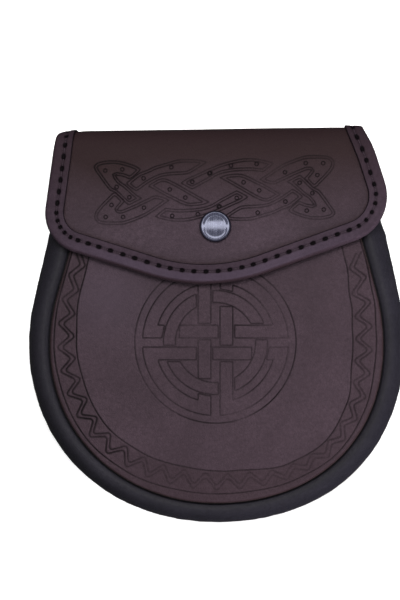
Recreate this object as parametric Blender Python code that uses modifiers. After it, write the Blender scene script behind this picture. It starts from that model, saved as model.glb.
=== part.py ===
"""Sporran pouch in leather, lying on its back with the flap closed.

Metres, +Z up.  X runs across the pouch, +Y points to its top and +Z out of its front.
The origin is under the middle of the pouch, on the surface that it lies on.
"""
import math

import bmesh
import bpy
from mathutils import Matrix, Vector

# Outline of the two panels, seen from the front, and the rings of faces that fill it.  It is
# cut by hand, a little fuller at the lower right than at the lower left.
PANEL_HALF_WIDTH = 0.0893
WIDEST_Y = -0.0120
PANEL_BELOW = 0.0841
PANEL_ABOVE = 0.094
FRONT_TAPER = 0.29
BACK_TAPER = 0.19
FRONT_TOP_Y = 0.0875
BACK_TOP_Y = 0.0895
MOUTH_CORNER_RADIUS = 0.008
LOWER_ARC_SHARE = 0.58
FULLER_RIGHT = 0.0021
FULLER_LEFT = 0.0008
MOUTH_LEAN = 0.0009
PANEL_STATIONS = 48
PANEL_TOP_POINTS = 9
PANEL_RINGS = (0.93, 0.76, 0.55, 0.32)
BACK_RINGS = (0.93, 0.74, 0.50, 0.20)

# Leather.
PANEL_THICKNESS = 0.0024
GUSSET_THICKNESS = 0.0014
FLAP_THICKNESS = 0.0023
BINDING_THICKNESS = 0.0010
TAB_LEATHER = 0.0016
GAP = 0.0003

# Front face: its height at the belly, and how far it falls to its edges.
BELLY_Z = 0.045
FRONT_SIDE_DROP = 0.008
FRONT_BOTTOM_DROP = 0.009
FRONT_TOP_DROP = 0.009

# Back face: a flat patch that lies on the surface, and how far the rest rises from it.
PATCH_HALF_WIDTH = 0.020
PATCH_TOP_Y = -0.0100
PATCH_BOTTOM_Y = -0.0605
BACK_TOP_RISE = 0.0132
BACK_SIDE_RISE = 0.0030
BACK_BOTTOM_RISE = 0.0040

# Gusset: how far it bulges past the panels, and its flanges under them.
GUSSET_BULGE_BOTTOM = 0.0104
GUSSET_BULGE_SIDE = 0.0115
GUSSET_BULGE_MOUTH = 0.0070
GUSSET_FULLER = 0.0007
GUSSET_STATIONS = 50
FLANGE_WIDTH = 0.0055
# One row for each point of the front half of the gusset's section: how far out it lies,
# as a share of the bulge, and how far from mid-depth, as a share of half the depth.
GUSSET_SECTION = (
    {"out": 0.00, "rise": 1.00},
    {"out": 0.15, "rise": 1.05},
    {"out": 0.36, "rise": 1.10},
    {"out": 0.61, "rise": 0.99},
    {"out": 0.83, "rise": 0.72},
    {"out": 0.96, "rise": 0.37},
    {"out": 1.00, "rise": 0.00},
)

# Flap: the line where its fold meets the front, the fold itself, and its stand-off.
FOLD_Y = 0.0907
FOLD_TILT = 0.0145
FOLD_REACH = 0.0130
FOLD_LENGTH = 0.042
SHOULDER_START = 0.058
SHOULDER_END = 0.086
SHOULDER_DROOP = 0.0012
LEFT_SHOULDER_START = 0.068
LEFT_SHOULDER_DROOP = 0.0028
FLAP_STAND_OFF = 0.0036
SNAP_STAND_OFF = 0.00135
SNAP_DOME_RADIUS = 0.024
TAIL_ROWS = 2
FOLD_ROWS = 15
FRONT_ROWS = 9
FLAP_COLUMNS = 20
FLAP_COLUMN_CROWDING = 0.6

# Flap's outer edge, binding included: along is the distance down from the fold's front line,
# below zero over the fold and down the back.  The hand-cut point is a little left of centre.
FLAP_EDGE = (
    {"x": -0.0720, "along": -0.0580, "radius": 0.0},
    {"x": -0.0815, "along": -0.0440, "radius": 0.010},
    {"x": -0.0860, "along": -0.0160, "radius": 0.040},
    {"x": -0.0879, "along": 0.0000, "radius": 0.050},
    {"x": -0.0940, "along": 0.0453, "radius": 0.022},
    {"x": -0.0047, "along": 0.0746, "radius": 0.099},
    {"x": 0.0974, "along": 0.0392, "radius": 0.025},
    {"x": 0.0850, "along": 0.0000, "radius": 0.050},
    {"x": 0.0790, "along": -0.0140, "radius": 0.030},
    {"x": 0.0788, "along": -0.0440, "radius": 0.010},
    {"x": 0.0720, "along": -0.0580, "radius": 0.0},
)
LEFT_CORNER = 4
RIGHT_CORNER = 6
EDGE_STEP = 0.0010

# Binding: a strip folded round the flap's edge, ending where the flap meets the back.
BINDING_WIDTH = 0.0104
BINDING_INNER_WIDTH = 0.0090
BINDING_END = -0.0410
BINDING_FOLD_STEP = 0.0024
BINDING_FRONT_STEP = 0.0055

# Press fastener through the flap and the front panel.
SNAP_X = -0.0007
SNAP_Y = 0.0519
CAP_RADIUS = 0.0085
CAP_FACE_RADIUS = 0.00645
CAP_WALL = 0.0009
CAP_BEVEL_TOP = 0.0021
CAP_CROWN = 0.0024
BARREL_RADIUS = 0.0022
SOCKET_RADIUS = 0.0055
SOCKET_DEPTH = 0.0020
RECESS_RADIUS = 0.0027
RECESS_DEPTH = 0.00145
STUD_RADIUS = 0.0050
STUD_FLANGE = 0.00085
STUD_HEAD_RADIUS = 0.0022
STUD_HEAD_HEIGHT = 0.0014
POST_RADIUS = 0.0018
RIVET_THICKNESS = 0.0009
SNAP_STEPS = 24
HOLE_STEPS = 16

# Hangers on the back: a folded leather tab and a flat-sided ring on each side.
HANGER_X = 0.0575
HANGER_Y = 0.0615
TAB_LENGTH = 0.024
TAB_WIDTH = 0.016
TAB_NOSE = 0.0036
RING_BAR = 0.0024
RING_THICKNESS = 0.0021
RING_LENGTH = 0.0240
RING_DEPTH = 0.0165
RING_BAR_CORNER = 0.0026
RING_BOW_CORNER = 0.0085
RING_CLEARANCE = 0.00025
ARC_POINTS = 6

LEATHER = {"colour": (0.071, 0.051, 0.061, 1.0), "roughness": 0.50, "metallic": 0.0}
LEATHER_FLAP = {"colour": (0.060, 0.043, 0.050, 1.0), "roughness": 0.48, "metallic": 0.0}
LEATHER_BINDING = {"colour": (0.075, 0.057, 0.083, 1.0), "roughness": 0.50, "metallic": 0.0}
LEATHER_BLACK = {"colour": (0.030, 0.030, 0.038, 1.0), "roughness": 0.55, "metallic": 0.0}
GUNMETAL = {"colour": (0.26, 0.29, 0.36, 1.0), "roughness": 0.28, "metallic": 1.0}
NICKEL = {"colour": (0.55, 0.55, 0.57, 1.0), "roughness": 0.25, "metallic": 1.0}


def clear_scene():
    for old in list(bpy.data.objects):
        bpy.data.objects.remove(old, do_unlink=True)


def new_collection(name):
    collection = bpy.data.collections.new(name)
    bpy.context.scene.collection.children.link(collection)
    return collection


def new_material(name, look):
    material = bpy.data.materials.new(name)
    material.use_nodes = True
    shader = material.node_tree.nodes["Principled BSDF"]
    shader.inputs["Base Color"].default_value = look["colour"]
    shader.inputs["Roughness"].default_value = look["roughness"]
    shader.inputs["Metallic"].default_value = look["metallic"]
    material.diffuse_color = look["colour"]
    return material


def add_mesh(name, bm, look, collection):
    mesh = bpy.data.meshes.new(name)
    bm.to_mesh(mesh)
    bm.free()
    mesh.shade_smooth()
    mesh.set_sharp_from_angle(angle=math.radians(40.0))
    piece = bpy.data.objects.new(name, mesh)
    piece.data.materials.append(new_material(name, look))
    collection.objects.link(piece)
    return piece


def thicken(piece, thickness, offset):
    wall = piece.modifiers.new("wall", "SOLIDIFY")
    wall.thickness = thickness
    wall.offset = offset
    wall.use_even_offset = True
    wall.use_rim = True


def loft(sections, closed):
    """Surface through sections of equal counts; closed sections make a solid with end caps."""
    bm = bmesh.new()
    rows = [[bm.verts.new(point) for point in section] for section in sections]
    count = len(rows[0])
    for row, following in zip(rows, rows[1:]):
        for i in range(count if closed else count - 1):
            j = (i + 1) % count
            bm.faces.new((row[i], row[j], following[j], following[i]))
    if closed:
        bm.faces.new(rows[0])
        bm.faces.new(rows[-1])
    bmesh.ops.recalc_face_normals(bm, faces=bm.faces)
    return bm


def rounded(corners, arc_points):
    """Polyline through corners (point, radius), each corner with a radius made an arc."""
    path = []
    for i, (corner, radius) in enumerate(corners):
        if radius == 0.0:
            path.append(corner)
            continue
        before = (corners[i - 1][0] - corner).normalized()
        after = (corners[(i + 1) % len(corners)][0] - corner).normalized()
        half = before.angle(after) / 2.0
        bisector = (before + after).normalized()
        centre = corner + bisector * (radius / math.sin(half))
        start = corner + before * (radius / math.tan(half)) - centre
        finish = corner + after * (radius / math.tan(half)) - centre
        sweep = start.angle_signed(finish)
        for step in range(arc_points + 1):
            turn = Matrix.Rotation(-sweep * step / arc_points, 2)
            path.append(centre + turn @ start)
    return path


# ---------------------------------------------------------------- surfaces of the pouch

def front_z(x, y):
    """Height of the front panel's outer face."""
    side = FRONT_SIDE_DROP * (x / PANEL_HALF_WIDTH) ** 2
    if y < WIDEST_Y:
        end = FRONT_BOTTOM_DROP * ((y - WIDEST_Y) / PANEL_BELOW) ** 2
    else:
        end = FRONT_TOP_DROP * ((y - WIDEST_Y) / (FRONT_TOP_Y - WIDEST_Y)) ** 2
    return BELLY_Z - side - end


def back_z(x, y):
    """Height of the back panel's outer face above the surface that the pouch lies on."""
    up = max(0.0, y - PATCH_TOP_Y) / (BACK_TOP_Y - PATCH_TOP_Y)
    down = max(0.0, PATCH_BOTTOM_Y - y) / (PATCH_BOTTOM_Y - (WIDEST_Y - PANEL_BELOW))
    out = max(0.0, abs(x) - PATCH_HALF_WIDTH) / (PANEL_HALF_WIDTH - PATCH_HALF_WIDTH)
    return BACK_TOP_RISE * up ** 2 + BACK_BOTTOM_RISE * down ** 2 + BACK_SIDE_RISE * out ** 2


def half_width(y, taper):
    """Half width of a panel above its widest line: an arc that runs into a straight taper."""
    slope = taper * PANEL_ABOVE / PANEL_HALF_WIDTH
    join = PANEL_ABOVE * slope / math.hypot(1.0, slope)
    rise = min(y - WIDEST_Y, join)
    arc = PANEL_HALF_WIDTH * math.sqrt(1.0 - (rise / PANEL_ABOVE) ** 2)
    return arc - taper * (y - WIDEST_Y - rise)


def swell(t):
    """Share of the fullness at a station: none at the bottom and the sides, most between."""
    return math.sin(math.pi * t / LOWER_ARC_SHARE) ** 2 if abs(t) < LOWER_ARC_SHARE else 0.0


def rim_point(t, taper, top_y):
    """Point on a panel's U-shaped rim, from -1 at the left of the mouth to 1 at its right."""
    side = math.copysign(1.0, t)
    share = abs(t)
    if share <= LOWER_ARC_SHARE:
        angle = share / LOWER_ARC_SHARE * math.pi / 2.0
        fuller = (FULLER_RIGHT if side > 0.0 else FULLER_LEFT) * swell(t)
        return Vector((side * (PANEL_HALF_WIDTH + fuller) * math.sin(angle),
                       WIDEST_Y - (PANEL_BELOW + fuller) * math.cos(angle)))
    rise = (share - LOWER_ARC_SHARE) / (1.0 - LOWER_ARC_SHARE)
    y = WIDEST_Y + (top_y - WIDEST_Y) * rise
    lean = MOUTH_LEAN * math.sin(math.pi * rise) ** 2 if side > 0.0 else 0.0
    return Vector((side * half_width(y, taper) + lean, y))


# ------------------------------------------------------------------------------ panels

def panel_outline(taper, top_y):
    """Closed outline: the U-shaped rim and a straight top edge with rounded corners."""
    rim = [rim_point(-1.0 + 2.0 * i / PANEL_STATIONS, taper, top_y)
           for i in range(PANEL_STATIONS + 1)]
    left = rim[0]
    right = rim[-1]
    top = [right.lerp(left, i / PANEL_TOP_POINTS) for i in range(1, PANEL_TOP_POINTS)]
    corners = []
    for point in rim + top:
        to_corner = min((point - left).length, (point - right).length)
        if to_corner == 0.0:
            corners.append((point, MOUTH_CORNER_RADIUS))
        elif to_corner > MOUTH_CORNER_RADIUS * 1.1:
            corners.append((point, 0.0))
    return rounded(corners, ARC_POINTS)


def panel(name, outline, rings, centre_y, surface, wall_offset, look, collection):
    """Crowned panel: rings drawn in from its outline, then lifted to its surface."""
    centre = Vector((0.0, centre_y, 0.0))
    bm = bmesh.new()
    verts = [bm.verts.new((point.x, point.y, 0.0)) for point in outline]
    ring = [bm.edges.new((verts[i - 1], verts[i])) for i in range(len(verts))]
    previous_scale = 1.0
    for scale in rings:
        grown = bmesh.ops.extrude_edge_only(bm, edges=ring)["geom"]
        inner = [item for item in grown if isinstance(item, bmesh.types.BMVert)]
        ring = [item for item in grown if isinstance(item, bmesh.types.BMEdge)]
        ring = [edge for edge in ring if all(vert in inner for vert in edge.verts)]
        step = scale / previous_scale
        bmesh.ops.scale(bm, verts=inner, vec=(step, step, 1.0),
                        space=Matrix.Translation(-centre))
        previous_scale = scale
    grown = bmesh.ops.extrude_edge_only(bm, edges=ring)["geom"]
    inner = [item for item in grown if isinstance(item, bmesh.types.BMVert)]
    bmesh.ops.pointmerge(bm, verts=inner, merge_co=centre)
    for vert in bm.verts:
        vert.co.z = surface(vert.co.x, vert.co.y)
    bmesh.ops.recalc_face_normals(bm, faces=bm.faces)
    if sum(face.normal.z for face in bm.faces) < 0.0:
        bmesh.ops.reverse_faces(bm, faces=bm.faces)
    piece = add_mesh(name, bm, look, collection)
    thicken(piece, PANEL_THICKNESS, wall_offset)
    return piece


# ------------------------------------------------------------------------------ gusset

def gusset_bulge(y, lower):
    """How far the gusset stands out past the panels at this height."""
    if lower:
        share = max(0.0, (WIDEST_Y - y) / PANEL_BELOW)
        return GUSSET_BULGE_SIDE + (GUSSET_BULGE_BOTTOM - GUSSET_BULGE_SIDE) * share
    start = 0.045
    share = max(0.0, (y - start) / (FRONT_TOP_Y - start))
    return GUSSET_BULGE_SIDE + (GUSSET_BULGE_MOUTH - GUSSET_BULGE_SIDE) * share


def gusset_section(t):
    """Middle of the gusset's wall at one station, from the front flange to the back one."""
    front = rim_point(t, FRONT_TAPER, FRONT_TOP_Y)
    back = rim_point(t, BACK_TAPER, BACK_TOP_Y)
    step = 0.01
    later = rim_point(min(1.0, t + step), FRONT_TAPER, FRONT_TOP_Y)
    earlier = rim_point(max(-1.0, t - step), FRONT_TAPER, FRONT_TOP_Y)
    along = (later - earlier).normalized()
    outward = Vector((along.y, -along.x))
    seat = PANEL_THICKNESS * 1.02 + GAP + GUSSET_THICKNESS / 2.0
    front_level = front_z(*front) - seat
    back_level = back_z(*back) + seat
    middle = (front_level + back_level) / 2.0
    half = (front_level - back_level) / 2.0
    bulge = gusset_bulge(front.y, abs(t) <= LOWER_ARC_SHARE)
    bulge += GUSSET_FULLER * swell(t) - GUSSET_THICKNESS / 2.0
    inner_front = front - outward * FLANGE_WIDTH
    inner_back = back - outward * FLANGE_WIDTH
    points = [Vector((*inner_front, front_z(*inner_front) - seat))]
    for sign, rows in ((1.0, GUSSET_SECTION), (-1.0, GUSSET_SECTION[-2::-1])):
        for row in rows:
            share = (1.0 - sign * row["rise"]) / 2.0
            base = front.lerp(back, min(1.0, max(0.0, share)))
            place = base + outward * (bulge * row["out"])
            points.append(Vector((*place, middle + sign * row["rise"] * half)))
    points.append(Vector((*inner_back, back_z(*inner_back) + seat)))
    return points


def gusset(collection):
    sections = [gusset_section(-1.0 + 2.0 * i / GUSSET_STATIONS)
                for i in range(GUSSET_STATIONS + 1)]
    piece = add_mesh("gusset", loft(sections, closed=False), LEATHER_BLACK, collection)
    thicken(piece, GUSSET_THICKNESS, 0.0)
    return piece


# -------------------------------------------------------------------------------- flap

def shoulder(x):
    """How far the fold falls in towards its two ends, later and more at the left."""
    start = LEFT_SHOULDER_START if x < 0.0 else SHOULDER_START
    droop = LEFT_SHOULDER_DROOP if x < 0.0 else SHOULDER_DROOP
    share = (abs(x) - start) / (SHOULDER_END - start)
    return droop * max(0.0, share) ** 2


def flap_front_z(x, y):
    """Height of the middle of the flap's leather in front of the pouch."""
    away = math.hypot(x - SNAP_X, y - SNAP_Y) / SNAP_DOME_RADIUS
    return front_z(x, y) + FLAP_STAND_OFF + SNAP_STAND_OFF * math.exp(-away ** 2)


def flap_tail_z(x, y):
    """Height of the middle of the flap's leather behind the pouch."""
    return back_z(x, y) - GAP - FLAP_THICKNESS / 2.0


def flap_point(x, along):
    """Middle of the flap's leather: down the front, over the fold, or down the back."""
    line = FOLD_Y + FOLD_TILT * x
    if along >= 0.0:
        return Vector((x, line - along, flap_front_z(x, line - along)))
    if along <= -FOLD_LENGTH:
        y = line + along + FOLD_LENGTH
        return Vector((x, y, flap_tail_z(x, y)))
    step = 0.001
    start = Vector((line, flap_front_z(x, line)))
    finish = Vector((line, flap_tail_z(x, line)))
    handle = (FOLD_REACH - shoulder(x)) * 4.0 / 3.0
    leave = Vector((step, flap_front_z(x, line + step) - start.y)).normalized() * handle
    arrive = Vector((step, flap_tail_z(x, line + step) - finish.y)).normalized() * handle
    t = -along / FOLD_LENGTH
    s = 1.0 - t
    point = start * s ** 3 + (start + leave) * (3.0 * s * s * t)
    point += (finish + arrive) * (3.0 * s * t * t) + finish * t ** 3
    return Vector((x, point.x, point.y))


def flap_normal(x, along):
    """Outward direction of the flap's face."""
    step = 0.0005
    across = flap_point(x + step, along) - flap_point(x - step, along)
    down = flap_point(x, along + step) - flap_point(x, along - step)
    return down.cross(across).normalized()


def flap_edge():
    """Flap's outer edge as evenly spaced rows of point and inward direction."""
    corners = [(Vector((row["x"], row["along"])), row["radius"]) for row in FLAP_EDGE]
    path = rounded(corners, 4 * ARC_POINTS)
    even = []
    for start, finish in zip(path, path[1:]):
        pieces = max(1, round((finish - start).length / EDGE_STEP))
        even.extend(start.lerp(finish, i / pieces) for i in range(pieces))
    even.append(path[-1])
    rows = []
    for i, point in enumerate(even):
        run = even[min(i + 1, len(even) - 1)] - even[max(i - 1, 0)]
        rows.append((point, Vector((run.y, -run.x)).normalized()))
    return rows


def nearest(rows, corner):
    """Index of the edge row nearest to a corner of the flap's outline."""
    target = Vector((FLAP_EDGE[corner]["x"], FLAP_EDGE[corner]["along"]))
    return min(range(len(rows)), key=lambda i: (rows[i][0] - target).length)


def flap(cutter, collection):
    rows = flap_edge()
    inset = BINDING_THICKNESS + GAP
    edge = [point + inward * inset for point, inward in rows]
    left_end = nearest(rows, LEFT_CORNER)
    right_end = nearest(rows, RIGHT_CORNER)
    left = edge[:left_end + 1]
    lower = edge[left_end:right_end + 1]
    right = edge[right_end:][::-1]

    def pick(line, share):
        return line[round(share * (len(line) - 1))]

    tail_end = sum(point.y < -FOLD_LENGTH for point in left) / len(left)
    fold_end = sum(point.y < 0.0 for point in left) / len(left)
    shares = [tail_end * j / TAIL_ROWS for j in range(TAIL_ROWS)]
    shares += [tail_end + (fold_end - tail_end) * j / FOLD_ROWS for j in range(FOLD_ROWS)]
    shares += [fold_end + (1.0 - fold_end) * j / FRONT_ROWS for j in range(FRONT_ROWS + 1)]
    sections = []
    for v in shares:
        section = []
        for i in range(FLAP_COLUMNS + 1):
            even = i / FLAP_COLUMNS
            crowded = 0.5 - 0.5 * math.cos(math.pi * even)
            u = even + (crowded - even) * FLAP_COLUMN_CROWDING
            top = left[0].lerp(right[0], u)
            sides = pick(left, v).lerp(pick(right, v), u)
            ends = top.lerp(pick(lower, u), v)
            corners = top.lerp(lower[0].lerp(lower[-1], u), v)
            layout = sides + ends - corners
            section.append(flap_point(layout.x, layout.y))
        sections.append(section)
    bm = loft(sections, closed=False)
    piece = add_mesh("flap", bm, LEATHER_FLAP, collection)
    thicken(piece, FLAP_THICKNESS, 0.0)
    cut(piece, cutter)
    return piece


def flap_binding(collection):
    """Strip folded round the flap's edge: an open C in section, run along the edge."""
    low = FLAP_THICKNESS / 2.0 + GAP
    high = low + BINDING_THICKNESS
    reach = BINDING_THICKNESS
    section = (
        (BINDING_WIDTH, low), (BINDING_WIDTH, high - 0.0003), (BINDING_WIDTH - 0.0006, high),
        (reach, high), (reach * 0.2, high * 0.72), (0.0, 0.0), (reach * 0.2, -high * 0.72),
        (reach, -high), (BINDING_INNER_WIDTH, -high), (BINDING_INNER_WIDTH, -low),
        (reach, -low), (reach, low),
    )
    rows = [row for row in flap_edge() if row[0].y >= BINDING_END]
    stations = [rows[0]]
    for row in rows:
        step = BINDING_FOLD_STEP if row[0].y < 0.0 else BINDING_FRONT_STEP
        if (row[0] - stations[-1][0]).length >= step:
            stations.append(row)
    stations[-1] = rows[-1]
    sections = []
    for point, inward in stations:
        ring = []
        for depth, height in section:
            place = point + inward * depth
            ring.append(flap_point(*place) + flap_normal(*place) * height)
        sections.append(ring)
    return add_mesh("flap_binding", loft(sections, closed=True), LEATHER_BINDING, collection)


# --------------------------------------------------------------------- press fastener

def snap_frame():
    """Place of the fastener: the middle of the flap's leather, turned to its outward side."""
    along = FOLD_Y + FOLD_TILT * SNAP_X - SNAP_Y
    turn = flap_normal(SNAP_X, along).to_track_quat("Z", "Y").to_matrix().to_4x4()
    return Matrix.Translation(flap_point(SNAP_X, along)) @ turn


def turned(name, profile, look, collection):
    """Solid of revolution from a half profile that runs down its outer side."""
    bm = bmesh.new()
    verts = [bm.verts.new((radius, 0.0, height)) for radius, height in profile]
    for upper, lower in zip(verts, verts[1:]):
        bm.edges.new((upper, lower))
    piece = add_mesh(name, bm, look, collection)
    screw = piece.modifiers.new("turn", "SCREW")
    screw.steps = SNAP_STEPS
    screw.render_steps = SNAP_STEPS
    screw.use_merge_vertices = True
    screw.merge_threshold = 0.00001
    piece.matrix_world = snap_frame()
    return piece


def snap_cap(collection):
    base = FLAP_THICKNESS / 2.0 + GAP
    under = -base
    foot = under - SOCKET_DEPTH
    profile = (
        (0.0, base + CAP_CROWN),
        (CAP_FACE_RADIUS * 0.6, base + CAP_CROWN - 0.0001),
        (CAP_FACE_RADIUS, base + CAP_BEVEL_TOP),
        (CAP_RADIUS - 0.0004, base + CAP_WALL),
        (CAP_RADIUS, base + CAP_WALL * 0.6),
        (CAP_RADIUS, base),
        (BARREL_RADIUS, base),
        (BARREL_RADIUS, under),
        (SOCKET_RADIUS, under),
        (SOCKET_RADIUS, foot),
        (RECESS_RADIUS, foot),
        (RECESS_RADIUS, foot + RECESS_DEPTH),
        (0.0, foot + RECESS_DEPTH),
    )
    return turned("snap_cap", profile, GUNMETAL, collection)


def stud_levels():
    """Heights of the stud's parts below the middle of the flap's leather."""
    panel_face = -(FLAP_STAND_OFF + SNAP_STAND_OFF) * 0.985
    flange_foot = panel_face + GAP
    flange_top = flange_foot + STUD_FLANGE
    rivet_top = panel_face - PANEL_THICKNESS - GAP
    return flange_top, flange_foot, rivet_top


def snap_stud(collection):
    flange_top, flange_foot, rivet_top = stud_levels()
    profile = (
        (0.0, flange_top + STUD_HEAD_HEIGHT),
        (STUD_HEAD_RADIUS * 0.8, flange_top + STUD_HEAD_HEIGHT),
        (STUD_HEAD_RADIUS, flange_top + STUD_HEAD_HEIGHT * 0.7),
        (STUD_HEAD_RADIUS * 0.85, flange_top),
        (STUD_RADIUS, flange_top),
        (STUD_RADIUS, flange_foot),
        (POST_RADIUS, flange_foot),
        (POST_RADIUS, rivet_top),
        (STUD_RADIUS, rivet_top),
        (STUD_RADIUS * 0.8, rivet_top - RIVET_THICKNESS),
        (0.0, rivet_top - RIVET_THICKNESS),
    )
    return turned("snap_stud", profile, GUNMETAL, collection)


def hole_cutter(name, radius, middle, depth, collection):
    """Round cutter along the fastener's axis."""
    bm = bmesh.new()
    bmesh.ops.create_cone(bm, cap_ends=True, segments=HOLE_STEPS, radius1=radius,
                          radius2=radius, depth=depth)
    bmesh.ops.translate(bm, verts=bm.verts, vec=(0.0, 0.0, middle))
    mesh = bpy.data.meshes.new(name)
    bm.to_mesh(mesh)
    bm.free()
    cutter = bpy.data.objects.new(name, mesh)
    collection.objects.link(cutter)
    cutter.matrix_world = snap_frame()
    cutter.hide_render = True
    cutter.display_type = "WIRE"
    return cutter


def cut(piece, cutter):
    boolean = piece.modifiers.new("hole", "BOOLEAN")
    boolean.operation = "DIFFERENCE"
    boolean.solver = "EXACT"
    boolean.object = cutter


# ----------------------------------------------------------------------------- hangers

def hanger_frame(side):
    """Place of a hanger: on the back's face at the ring's bar, X outward and Z off the back."""
    x = side * HANGER_X
    step = 0.004
    point = Vector((x, HANGER_Y, back_z(x, HANGER_Y)))
    out = Vector((side * step, 0.0, back_z(x + side * step, HANGER_Y) - point.z)).normalized()
    up = Vector((0.0, step, back_z(x, HANGER_Y + step) - point.z)).normalized()
    off = out.cross(up).normalized()
    if off.z > 0.0:
        off = -off
    up = off.cross(out).normalized()
    turn = Matrix((out, up, off)).transposed().to_4x4()
    return Matrix.Translation(point) @ turn


def flat_solid(name, loops, thickness, frame, look, collection):
    """Flat outline, with any inner loops as holes, made thick both ways from its plane."""
    curve = bpy.data.curves.new(name, "CURVE")
    curve.dimensions = "2D"
    curve.fill_mode = "BOTH"
    curve.extrude = thickness / 2.0
    for loop in loops:
        spline = curve.splines.new("POLY")
        spline.points.add(len(loop) - 1)
        for point, place in zip(spline.points, loop):
            point.co = (place.x, place.y, 0.0, 1.0)
        spline.use_cyclic_u = True
    shape = bpy.data.objects.new(name + "_outline", curve)
    collection.objects.link(shape)
    bpy.context.view_layer.update()
    evaluated = shape.evaluated_get(bpy.context.evaluated_depsgraph_get())
    bm = bmesh.new()
    bm.from_mesh(bpy.data.meshes.new_from_object(evaluated))
    bmesh.ops.remove_doubles(bm, verts=bm.verts, dist=0.00001)
    bpy.data.objects.remove(shape, do_unlink=True)
    piece = add_mesh(name, bm, look, collection)
    piece.matrix_world = frame
    return piece


def hanger_tab(name, side, collection):
    """Leather strip folded round the ring's bar, its two ends sewn together to the back."""
    pocket_height = RING_THICKNESS + 2.0 * RING_CLEARANCE
    pocket_half = RING_BAR / 2.0 + RING_CLEARANCE
    top = 2.0 * TAB_LEATHER + pocket_height
    outline = rounded([
        (Vector((-TAB_LENGTH, 0.0)), 0.0),
        (Vector((TAB_NOSE - 0.0006, 0.0)), 0.0022),
        (Vector((TAB_NOSE - 0.0006, top)), 0.0022),
        (Vector((-TAB_NOSE, top)), 0.004),
        (Vector((-TAB_LENGTH * 0.55, 2.0 * TAB_LEATHER)), 0.004),
        (Vector((-TAB_LENGTH, 2.0 * TAB_LEATHER)), 0.0),
    ], ARC_POINTS // 2)
    pocket = [
        Vector((pocket_half, TAB_LEATHER)),
        Vector((pocket_half, TAB_LEATHER + pocket_height)),
        Vector((-pocket_half, TAB_LEATHER + pocket_height)),
        Vector((-pocket_half - 0.0022, TAB_LEATHER + pocket_height * 0.45)),
        Vector((-pocket_half, TAB_LEATHER)),
    ]
    # The outline is drawn along the tab and away from the back, so it is stood on its edge.
    stand = Matrix.Translation((0.0, 0.0, GAP)) @ Matrix.Rotation(math.radians(90.0), 4, "X")
    return flat_solid(name, (outline, pocket), TAB_WIDTH, hanger_frame(side) @ stand,
                      LEATHER, collection)


def hanger_ring(name, side, collection):
    """Flat-sided ring: a straight bar held in the tab, and a bow that stands out of it."""
    def loop(inset):
        near = -RING_BAR / 2.0 + inset
        far = RING_DEPTH - RING_BAR / 2.0 - inset
        half = RING_LENGTH / 2.0 - inset
        return rounded([
            (Vector((near, -half)), RING_BAR_CORNER - inset * 0.9),
            (Vector((far, -half)), RING_BOW_CORNER - inset),
            (Vector((far, half)), RING_BOW_CORNER - inset),
            (Vector((near, half)), RING_BAR_CORNER - inset * 0.9),
        ], ARC_POINTS)
    level = GAP + TAB_LEATHER + RING_CLEARANCE + RING_THICKNESS / 2.0
    frame = hanger_frame(side) @ Matrix.Translation((0.0, 0.0, level))
    return flat_solid(name, (loop(0.0), loop(RING_BAR)), RING_THICKNESS, frame,
                      NICKEL, collection)


# ------------------------------------------------------------------------------- build

def build():
    clear_scene()
    parts = new_collection("sporran_pouch")
    cutters = new_collection("cutters")
    flap_hole = hole_cutter("flap_hole", BARREL_RADIUS + GAP, 0.0, 3.0 * FLAP_THICKNESS, cutters)
    rivet_top = stud_levels()[2]
    panel_middle = rivet_top + GAP + PANEL_THICKNESS / 2.0
    panel_hole = hole_cutter("panel_hole", POST_RADIUS + GAP, panel_middle,
                             2.0 * PANEL_THICKNESS, cutters)
    patch_y = (PATCH_TOP_Y + PATCH_BOTTOM_Y) / 2.0
    panel("back_panel", panel_outline(BACK_TAPER, BACK_TOP_Y), BACK_RINGS, patch_y,
          back_z, 1.0, LEATHER, parts)
    front = panel("front_panel", panel_outline(FRONT_TAPER, FRONT_TOP_Y), PANEL_RINGS,
                  WIDEST_Y, front_z, -1.0, LEATHER, parts)
    cut(front, panel_hole)
    gusset(parts)
    flap(flap_hole, parts)
    flap_binding(parts)
    snap_cap(parts)
    snap_stud(parts)
    for suffix, side in (("left", -1.0), ("right", 1.0)):
        hanger_tab("hanger_tab_" + suffix, side, parts)
        hanger_ring("hanger_ring_" + suffix, side, parts)


build()
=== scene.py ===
import math

import bmesh
import bpy
from mathutils import Matrix, Vector, geometry, kdtree, noise


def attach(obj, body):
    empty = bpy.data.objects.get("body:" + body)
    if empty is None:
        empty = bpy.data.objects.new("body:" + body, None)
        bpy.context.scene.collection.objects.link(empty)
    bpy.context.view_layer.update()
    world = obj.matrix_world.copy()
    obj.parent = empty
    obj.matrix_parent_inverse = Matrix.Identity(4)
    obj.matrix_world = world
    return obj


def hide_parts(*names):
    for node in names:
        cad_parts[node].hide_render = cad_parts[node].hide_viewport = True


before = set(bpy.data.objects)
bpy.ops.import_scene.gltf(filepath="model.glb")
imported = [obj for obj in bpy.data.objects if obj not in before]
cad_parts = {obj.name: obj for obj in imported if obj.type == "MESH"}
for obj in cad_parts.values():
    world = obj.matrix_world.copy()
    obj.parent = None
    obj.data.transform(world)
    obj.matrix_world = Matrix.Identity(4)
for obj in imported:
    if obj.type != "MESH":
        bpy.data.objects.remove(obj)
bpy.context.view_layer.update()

# ---------------------------------------------------------------------- back panel
# Back of the pouch: firm tanned leather cut to a U, dished so that it lies on a flat patch
# in its belly.  Its cut edge is burnished round, and a sewn line near it holds the gusset.
PANEL_HALF_WIDTH = 0.0893
WIDEST_Y = -0.0120
PANEL_BELOW = 0.0841
PANEL_ABOVE = 0.094
PANEL_THICKNESS = 0.0024
LOWER_ARC_SHARE = 0.58
FULLER_RIGHT = 0.0021
FULLER_LEFT = 0.0008
MOUTH_LEAN = 0.0009
MOUTH_CORNER_RADIUS = 0.008
BACK_TAPER = 0.19
BACK_TOP_Y = 0.0895
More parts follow.
